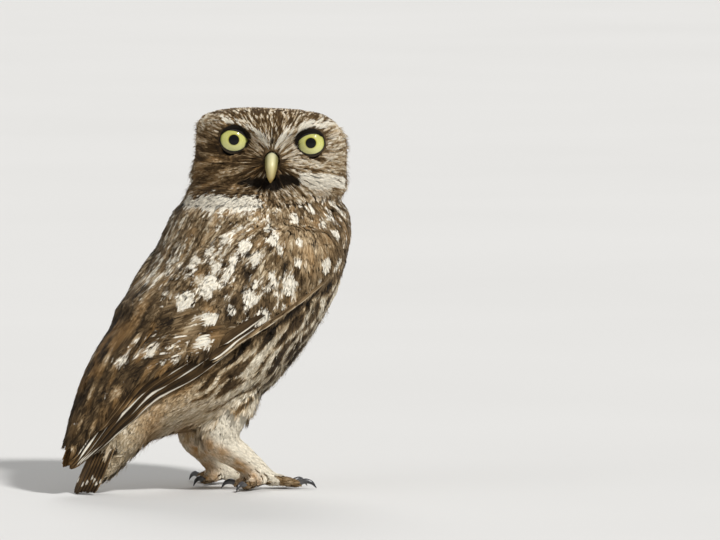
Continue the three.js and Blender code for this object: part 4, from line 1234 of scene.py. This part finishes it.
vaneColumns = [-1, -0.88, -0.7, -0.4, -0.1, 0.2, 0.42, 0.6, 0.74, 0.86, 1]
vaneShapes = {
    "flight": [(0, 0.7), (0.5, 1), (0.8, 0.92), (0.93, 0.66), (0.985, 0.36), (1, 0.16)],
    "tail": [(0, 0.8), (0.6, 1), (0.9, 0.96), (0.97, 0.7), (1, 0.34)],
}
vanePlan = {  # what a tier doesn't say for itself
    "thickness": 0.28, "rowLength": 1.8, "step": 0.2, "bar": -3, "edge": 0.14, "vary": 0.2, "rim": 0.2,
    "bars": 0, "edgeTone": 0.5, "dip": 0, "cross": 0,
}
wingTiers = {  # roots and tips as shares along the wing and down it, from the upper feather to the lowest
    "primaries": {
        "count": 7, "roots": [0.44, 0.36, 0.28, 0.2], "rootDown": [0.55, 0.78, 0.96],
        "tips": [0.885, 0.93, 0.962, 0.976, 0.965, 0.945, 0.915], "tipDown": [0.12, 0.5, 0.95],
        "halfWidth": 3.5, "rise": [-1.1, 0.8], "tone": 0.0, "notch": 12, "edge": 0.16, "vary": 0.08,
        "lines": 0.2, "shown": [0.9, 0.6], "rim": 0.68, "bars": 0.08, "edgeTone": 0.8,
    },
    "secondaries": {
        "count": 6, "roots": [0.42, 0.4], "tips": [0.86, 0.8], "rootDown": [0.2, 0.6], "tipDown": [0.3, 0.62],
        "halfWidth": 4.4, "rise": [-1.0, 1.5], "dip": 1.6, "step": 0.16, "tone": 0.04, "notch": 9,
        "vary": 0.16, "lines": 0.4, "shown": [0.85, 0.6], "bars": 0.2,
    },
    "tertials": {
        "count": 4, "roots": [0.42, 0.42], "tips": [0.72, 0.82], "rootDown": [0.03, 0.24],
        "tipDown": [0.08, 0.3], "halfWidth": 4.4, "rise": [-0.6, 1.9], "dip": 3.4, "tone": 0.14, "notch": 8,
        "bar": -0.6, "lines": 0.5, "shown": [0.76, 0.7], "bars": 0.25,
    },
    "marginals": {
        "count": 8, "roots": [0.15, 0.36], "tips": [0.25, 0.475], "rootDown": [0.975, 0.975],
        "tipDown": [0.975, 0.975], "halfWidth": 1.1, "rise": [-0.8, 1.0], "step": 0, "tone": 0.42,
        "notch": 60, "edge": 0.9, "lines": 0.4, "shown": [3, 3], "rim": 0.6,
    },
    "scapulars": {  # over the rump, those of both wings crossing on the spine
        "count": 3, "roots": [0.49, 0.52], "tips": [0.83, 0.78], "rootDown": [-0.15, 0.0],
        "tipDown": [-0.17, 0.04], "halfWidth": 5.2, "rise": [-3.4, 1.4], "step": 0.25, "tone": 0.17,
        "notch": 9, "bar": -0.2, "vary": 0.25, "lines": 0.7, "shown": [0.8, 0.8], "rim": 0, "cross": 0.5,
        "bars": 0.2,
    },
    "alulae": {
        "count": 2, "roots": [0.31, 0.35], "tips": [0.43, 0.475], "rootDown": [0.88, 0.93],
        "tipDown": [0.88, 0.93], "halfWidth": 2.4, "rise": [-0.4, 1.8], "tone": 0.22, "notch": 60,
        "edge": 0.24, "vary": 0.1, "lines": 0.3, "shown": [3, 3], "rim": 1,
    },
}
wingTiers = {name: dict(vanePlan, **tier) for name, tier in wingTiers.items()}


def readAt(values, share):  # values spread evenly from 0 to 1
    return np.interp(share, np.linspace(0, 1, len(values)), values)


def flightMarks(share, across, length, tier, phase):
    reach = share * length
    wave = np.abs((reach / tier["notch"] + 0.3 * phase) % 1 - 0.5) * tier["notch"]
    bar = tier["bar"] - wave * 0.9
    outer = bar - 3.5 * soft(0.75, 0.5, across)
    inner = bar - 1.6 - 3 * soft(-0.6, -0.1, across)
    patches = grain(np.stack([reach / 7, 0 * reach, 0 * reach], 1), 1, int(phase * 99))
    rim = (across - 0.72) * 8 * tier["rim"] + (patches - 0.5) * 4 - 3 + 3 * tier["rim"]
    pale = np.maximum(np.maximum(outer, inner), rim - 3 * soft(0.9, 0.99, share))
    if "spot" in tier:
        fromSpot = np.abs(length - reach - tier["spot"] - 14 * (phase - 1.7))
        pale = np.maximum(pale, 1.5 - 0.8 * fromSpot - 3.5 * np.abs(across - 0.72))
    lines = grain(np.stack([across * 3.5, reach / 7, np.full(len(share), phase * 50)], 1), 1, 41)
    bars = tier["bars"] * soft(-1.5, 1.5, 0.22 * tier["notch"] - wave)
    tone = tier["tone"] + tier["vary"] * (phase - 0.5) + tier["lines"] * (lines - 0.5) + bars
    tone += tier["edgeTone"] * soft(1 - tier["edge"], 1 - 0.4 * tier["edge"], across) * (0.3 + patches)
    under = 1 - mix(*tier["shown"], share)  # where the feather above ends; its painted shadow lies just beyond that edge
    # a thin dark line of painted shadow next to the edge of the feather above
    paintedEdgeShadow = 1.2 - np.abs(across - under - 0.1) * 9 + (lines - 0.5)
    return {"tone": tone, "pale": pale, "dark": paintedEdgeShadow, "warm": 0.06 + 0.5 * bars}


def placedVanes(name, specs, slot, replaced):
    parts, fields, patches = [], [], []
    cells = math.ceil(math.sqrt(len(specs)))
    for index, (placeAt, length, tier, phase) in enumerate(specs):
        rows = max(10, int(length / vanePlan["rowLength"]))
        points, corners, share, across = vane(placeAt, rows, vaneColumns, vanePlan["thickness"])
        parts.append((points, corners))
        made = flightMarks(share, across, length, tier, phase)
        threads = grain(np.stack([across * 5, share * length / 4, share * 0], 1), 1, index) - 0.5
        spot = soft(-0.6, 0.8, rearField(points) + 2.4 * threads)
        # painted light: lightens and warms the far wing's tips, which the lamps leave in shade
        paintedFarTipLight = lump(points, (-88, 7, 18), 11)
        made["tone"] += 0.5 * spot + 0.24 * paintedFarTipLight
        made["warm"] += 0.25 * spot + 0.4 * paintedFarTipLight
        made["along"], made["across"] = share, across
        made["tuft"] = np.full(len(share), dice.random())
        made["strand"] = grain(np.stack([share * length, across * 0.5, share * 0], 1), (0.8, 1, 1), index)
        fields.append(made)
        cell = np.array([index % cells, index // cells])
        patches.append((cell + 0.1 + 0.8 * np.stack([(across + 1) / 2, share], 1)) / cells)
    points, corners = joined(parts)
    merged = {k: np.concatenate([f[k] for f in fields]) for k in fields[0]}
    piece = newPiece(name, points, corners, plumage, merged, np.vstack(patches), slot)
    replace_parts(piece, replaced)


def flightSpecs(side):
    specs = []
    shape = np.array(vaneShapes["flight"]).T
    for name, tier in wingTiers.items():
        for i in range(tier["count"]):
            order = i / (tier["count"] - 1)
            root, tip = readAt(tier["roots"], order), readAt(tier["tips"], order) + dice.normal(0, 0.003)
            downs = readAt(tier["rootDown"], order), readAt(tier["tipDown"], order) + dice.normal(0, 0.005)

            def placeAt(share, across, lift, tier=tier, root=root, tip=tip, downs=downs, i=i):
                here = mix(root, tip, share)
                row = wingRun.at(here)
                breadth = row[..., 2] * np.radians(row[..., 5] - row[..., 4])
                aside = across * tier["halfWidth"] * np.interp(share, *shape) / breadth
                down = np.clip(mix(*downs, share) * wingEdge(here) + aside, -0.5, 1.4)
                height = mix(*tier["rise"], share) - tier["step"] * i + 0.2 * (1 - across**2) + 0.3 * across
                height += tier["cross"] * (side > 0) - tier["dip"] * soft(0.25, 0, share)
                return wingPoint(side, here, down, height + lift)

            own = dict(tier, rim=0.8) if name == "primaries" and i == tier["count"] - 1 else tier
            specs.append((placeAt, 125 * (tip - root), own, dice.random()))
    return specs


for side, word in sideNames.items():
    placedVanes(f"{word}_flight_feathers", flightSpecs(side), "flight_feathers", f"wing_{word}")


def tailSpecs():
    root, tip = np.array(tail["root"], float), np.array(tail["tip"], float)
    way = unit(tip - root)
    up = np.array([way[2], 0, -way[0]])
    shape = np.array(vaneShapes["tail"]).T
    specs = []
    for side in sideNames:
        for pair in range(tail["pairs"]):
            reach = 1 - 0.012 * pair + 0.008 * dice.normal()

            def placeAt(share, across, lift, side=side, pair=pair, reach=reach):
                here = mix(0.1, reach, share)
                spread = (pair + 0.5) / tail["pairs"] * (mix(tail["rootWidth"], tail["tipWidth"], here) - 3)
                out = spread + across * tail["halfWidth"] * np.interp(share, *shape)
                height = 1.6 - tail["step"] * pair + 0.25 * (1 - across**2) + 0.1 * across + lift
                point = root + (tip - root) * here[..., None] + up * height[..., None]
                point[..., 1] = side * out
                point[..., 2] = np.maximum(point[..., 2], floorGap)
                return point

            own = dict(tail, edge=0.22, edgeTone=0.4) if pair == tail["pairs"] - 1 else tail
            specs.append((placeAt, 60, own, 1.5 + 0.4 * dice.random()))
    return specs


placedVanes("tail_feathers", tailSpecs(), "flight_feathers", "tail")


# Eyes, lids, bill and claws

def eyeFinish():
    finish = Finish("eye", Roughness=0.3, Specular_IOR_Level=0.1, Coat_Weight=0.25, Coat_Roughness=0.03)
    radius, turn = finish.field("radius"), finish.field("turn")
    fibres = finish.noise(finish.triple(turn * 7.0, radius * 0.5, 0.0), 3.0, 3.0, 0.6)
    iris = finish.blend(fibres.step(0.3, 0.7), (0.50, 0.50, 0.13), (0.68, 0.67, 0.25))
    iris = finish.blend(radius.step(5.4, 6.8), iris, (0.34, 0.36, 0.06))
    iris = finish.blend(radius.step(3.5, 2.6), iris, (0.40, 0.36, 0.05))
    # painted shade under the brow darkens the iris's top, and painted light brightens its bottom
    iris = finish.blend(finish.field("above").step(-0.1, 1.0) * 0.6, iris, (0.30, 0.27, 0.05))
    iris = finish.blend(finish.field("above").step(0.1, -0.8) * 0.55, iris, (0.86, 0.85, 0.44))
    pupil = (radius + (fibres - 0.5) * 0.3).step(2.72, 2.58)
    rim = radius.step(6.75, 7.0)
    colour = finish.blend(pupil.most(rim), iris, (0.004, 0.004, 0.004))
    finish.set(Base_Color=colour)
    return finish.material


def lidFinish():
    finish = Finish("lid", Roughness=0.7, Specular_IOR_Level=0.2)
    grit = finish.noise(finish.place(), 2400.0, 2.0)
    colour = finish.blend(grit, (0.010, 0.009, 0.008), (0.030, 0.026, 0.022))
    finish.set(Base_Color=finish.blend(finish.field("down").step(0.2, 0.55), colour, (0.07, 0.052, 0.034)))
    finish.bump(grit, 0.0001, 0.5)
    return finish.material


# the bill's own yellow-olive, with painted shade in the side ramp and a painted highlight in the paler ridge
# ramp
billColours = {
    "side": [(0.0, (0.13, 0.125, 0.06)), (0.35, (0.20, 0.18, 0.06)), (0.75, (0.30, 0.22, 0.055)),
             (1.0, (0.34, 0.21, 0.05))],
    "ridge": [(0.0, (0.52, 0.52, 0.36)), (0.45, (0.66, 0.60, 0.31)), (0.9, (0.42, 0.28, 0.07))],
}
clawColours = [(0.0, (0.10, 0.095, 0.09)), (0.5, (0.035, 0.034, 0.036)), (1.0, (0.012, 0.012, 0.013))]


def billFinish():
    finish = Finish("bill", Coat_Weight=0.25, Coat_Roughness=0.25)
    share, ridge = finish.field("along"), finish.field("ridge")
    streak = finish.noise(finish.triple(ridge * 2.0, share * 3.0, 0.0), 2.5, 3.0)
    # painted shade on the sides and a painted highlight along the ridge, over the bill's own colour
    colour = finish.ramp(share + (streak - 0.5) * 0.2, *billColours["side"])
    colour = finish.blend(ridge.step(0.45, 1.0), colour, finish.ramp(share, *billColours["ridge"]))
    finish.set(Base_Color=colour, Roughness=0.34 + streak * 0.2)
    finish.bump(streak, 0.0001, 0.4)
    return finish.material


def clawFinish():
    finish = Finish("claw", Coat_Weight=0.3, Coat_Roughness=0.2)
    share = finish.field("along")
    streak = finish.noise(finish.triple(finish.field("ridge") * 2.0, share * 2.0, 1.0), 3.0, 2.0)
    colour = finish.ramp(share + (streak - 0.5) * 0.3, *clawColours)
    finish.set(Base_Color=colour, Roughness=0.25 + streak * 0.2)
    return finish.material


eyeMaterial, lidMaterial = eyeFinish(), lidFinish()
billMaterial, clawMaterial = billFinish(), clawFinish()


def eyeCentre(side):
    return np.array([eyes["depth"], side * eyes["spacing"] / 2, eyes["level"]])


def eyeBall(side):
    polar = np.linspace(0.02, 1.9, 40)[:, None]
    turn = np.linspace(0, 2 * math.pi, 64, endpoint=False)[None, :]
    radius = eyes["radius"] + 0.55 * hump(np.degrees(polar), 34)  # the cornea bulges
    forward, flat = np.cos(polar) * radius * np.ones_like(turn), np.sin(polar) * radius
    sections = np.stack([forward, flat * np.cos(turn), flat * np.sin(turn)], -1)
    flat = np.where(np.degrees(polar) > 80, 20, np.hypot(sections[..., 1], sections[..., 2]))
    points, corners = lofted(fromHead(sections + eyeCentre(side)))
    fields = {"radius": np.append(flat.ravel(), [0, 20]),
              "turn": np.append((np.abs(turn - math.pi) * np.ones_like(polar)).ravel(), [0, 0]),
              "above": np.append(sections[..., 2].ravel() / 6, [0, 0])}
    piece = newPiece(f"{sideNames[side]}_eye", points, corners, eyeMaterial, fields, slot="eye")
    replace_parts(piece, f"eye_{sideNames[side]}")


opening = {"halfWidth": 6.7, "above": 4.3, "below": 5.5, "slant": 0.2, "rim": 7.3, "lowRim": 7.2}
lidSection = [  # share of the way from the opening to the rim, and height over the eye
    (0, -0.6), (0.01, 0.15), (0.07, 0.5), (0.18, 0.62), (0.4, 0.5), (0.7, 0.35), (1, 0.1), (1.15, -1.2),
    (0.5, -1.6),
]


def lidRing(side):
    turn = np.linspace(0, 2 * math.pi, 72, endpoint=False)
    tall = np.where(np.sin(turn) > 0, opening["above"], opening["below"])
    aside, up = opening["halfWidth"] * np.cos(turn), tall * np.sin(turn)
    up = up + opening["slant"] * aside * soft(0, 3, up)
    low = soft(0.1, -0.5, np.sin(turn))
    reach = np.hypot(aside, up)
    sections = []
    for out, lift in lidSection:
        scale = mix(reach, mix(opening["rim"], opening["lowRim"], low), out) / reach
        y, z = aside * scale, up * scale
        flat = np.minimum(np.hypot(y, z), eyes["radius"] - 0.3)
        sections.append(np.stack([np.sqrt(eyes["radius"] ** 2 - flat**2) + lift, side * y, z], 1))
    sections = np.stack(sections, 1) + eyeCentre(side)
    rows, columns = sections.shape[:2]
    points = fromHead(sections).reshape(-1, 3)
    row, column = np.meshgrid(np.arange(rows), np.arange(columns), indexing="ij")
    first, second = row * columns, (row + 1) % rows * columns
    after = (column + 1) % columns
    quads = np.stack([first + column, first + after, second + after, second + column], -1)
    quads = quads.reshape(-1, 4)[:, ::side]
    downy = low[:, None] * np.array([out for out, _ in lidSection])
    newPiece(f"{sideNames[side]}_lid", points, quads, lidMaterial, {"down": downy.ravel()}, slot="eye")


def horn(name, places, widths, heights, material, slot, replaced, toPart=fromHead, ridge=0.3):
    rows, columns = 34, 28
    share = np.linspace(0, 1, rows)
    path = Run([(*p, 0) for p in places])
    centre = path.at(share)[:, :3]
    way = unit(path.at(share + 0.01)[:, :3] - path.at(share - 0.01)[:, :3])
    level = unit(np.cross([0, 0, 1.0], way[0]))
    turn = np.linspace(0, 2 * math.pi, columns, endpoint=False)
    top = np.clip(np.sin(turn), 0, 1)
    sections = []
    for i in range(rows):
        level = unit(level - way[i] * (level @ way[i]))
        aside = np.cos(turn) * (1 - ridge * top**2) * readAt(widths, share[i])
        up = np.sin(turn) * readAt(heights, share[i])
        sections.append(centre[i] + aside[:, None] * level + up[:, None] * np.cross(way[i], level))
    points, corners = lofted(toPart(np.stack(sections)))
    points[:, 2] = np.maximum(points[:, 2], floorGap)
    fields = {"along": np.append(np.repeat(share, columns), [0, 1]),
              "ridge": np.append(np.tile(top, rows), [0, 0])}
    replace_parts(newPiece(name, points, corners, material, fields, slot=slot), replaced)


for side in sideNames:
    eyeBall(side)
    lidRing(side)
bills = {  # places from the base of the bill, half widths and half heights
    "upper": ([(0, 0, -1), (5.5, 0, -2.0), (9.2, 0, -6.0), (9.6, 0, -10.6), (8, 0, -13.3)],
              [3.2, 3.3, 3.0, 1.9, 0.35], [3.0, 3.2, 2.9, 1.7, 0.35]),
    "lower": ([(-1, 0, -7.6), (3.2, 0, -8.8), (6.6, 0, -11.6)], [2.7, 2.3, 0.6], [3.0, 2.4, 0.5]),
}
for part, (places, widths, heights) in bills.items():
    places = [(head["depth"] - 3 + x, y, z) for x, y, z in places]
    horn(f"{part}_bill", places, widths, heights, billMaterial, "bill", f"bill_{part}")
clawShape = {"places": [(0, 3.3), (0.38, 4.3), (0.74, 3.4), (1, 0.75)],  # share of its length, and height
             "widths": [1.35, 1.3, 0.9, 0.14], "heights": [1.4, 1.4, 0.95, 0.14]}
for side, word in sideNames.items():
    ball = np.array(legs["ball"][side], float) * (1, 1, 0)
    for toe, (_, length, claw) in toes[side].items():
        start = legs["shankRadius"] + length - 1.6
        places = [ball + toeWay(side, toe) * (start + claw * f) + (0, 0, h) for f, h in clawShape["places"]]
        horn(f"{word}_{toe}_claw", places, clawShape["widths"], clawShape["heights"], clawMaterial, "claw",
             f"claw_{word}_{toe}", toPart=lambda p: p, ridge=0.2)


# Floor, light and camera

stage = {
    "floor": 40, "distance": 6.0, "azimuth": -28, "elevation": 4, "middle": (65, 109), "view": 0.360,
    "sky": (0.98, 0.99, 1.0, 1), "skyStrength": 0.32,
    "suns": {"key": ((16, 46), 3.1, 7), "rim": ((150, 38), 1.0, 25), "fill": ((-95, 25), 0.3, 40)},
}


def floorFinish():
    finish = Finish("floor", Roughness=0.9)
    tint = finish.noise(finish.place(), 3.0, 2.0)
    finish.set(Base_Color=finish.blend(tint, (0.60, 0.59, 0.57), (0.64, 0.63, 0.61)))
    return finish.material


def makeStage():
    size = stage["floor"]
    corners = [(-size, -size, 0), (size, -size, 0), (size, size, 0), (-size, size, 0)]
    mesh = bpy.data.meshes.new("floor")
    mesh.from_pydata(corners, [], [(0, 1, 2, 3)])
    mesh.materials.append(floorFinish())
    floor = bpy.data.objects.new("floor", mesh)
    bpy.context.scene.collection.objects.link(floor)
    world = bpy.data.worlds.new("studio")
    world.use_nodes = True
    sky = world.node_tree.nodes["Background"].inputs
    sky["Color"].default_value, sky["Strength"].default_value = stage["sky"], stage["skyStrength"]
    bpy.context.scene.world = world
    for name, (place, energy, spread) in stage["suns"].items():
        light = bpy.data.lights.new(name, "SUN")
        light.energy = energy
        light.angle = math.radians(spread)
        addFacing(name, light, backWay(*place))
    print("floor and lights")


def addFacing(name, data, back):  # a lamp or camera that looks the other way
    thing = bpy.data.objects.new(name, data)
    thing.rotation_mode = "QUATERNION"
    thing.rotation_quaternion = back.to_track_quat("Z", "Y")
    bpy.context.scene.collection.objects.link(thing)
    return thing


def backWay(azimuth, elevation):
    a, e = math.radians(azimuth), math.radians(elevation)
    return Vector((math.sin(a) * math.cos(e), -math.cos(a) * math.cos(e), math.sin(e)))


def makeCamera():
    back = backWay(stage["azimuth"], stage["elevation"])
    a = math.radians(stage["azimuth"])
    right = Vector((math.cos(a), math.sin(a), 0))
    u, v = stage["middle"]
    target = (Vector(birdPlace) + right * u + back.cross(right) * v + back * 10) * mm
    camera = addFacing("camera", bpy.data.cameras.new("camera"), back)
    camera.data.sensor_width = 36
    camera.data.lens = 36 * stage["distance"] / stage["view"]
    camera.data.clip_end = 200
    camera.location = target + back * stage["distance"]
    bpy.context.scene.camera = camera


makeStage()
makeCamera()
bpy.context.scene.view_settings.view_transform = "Standard"
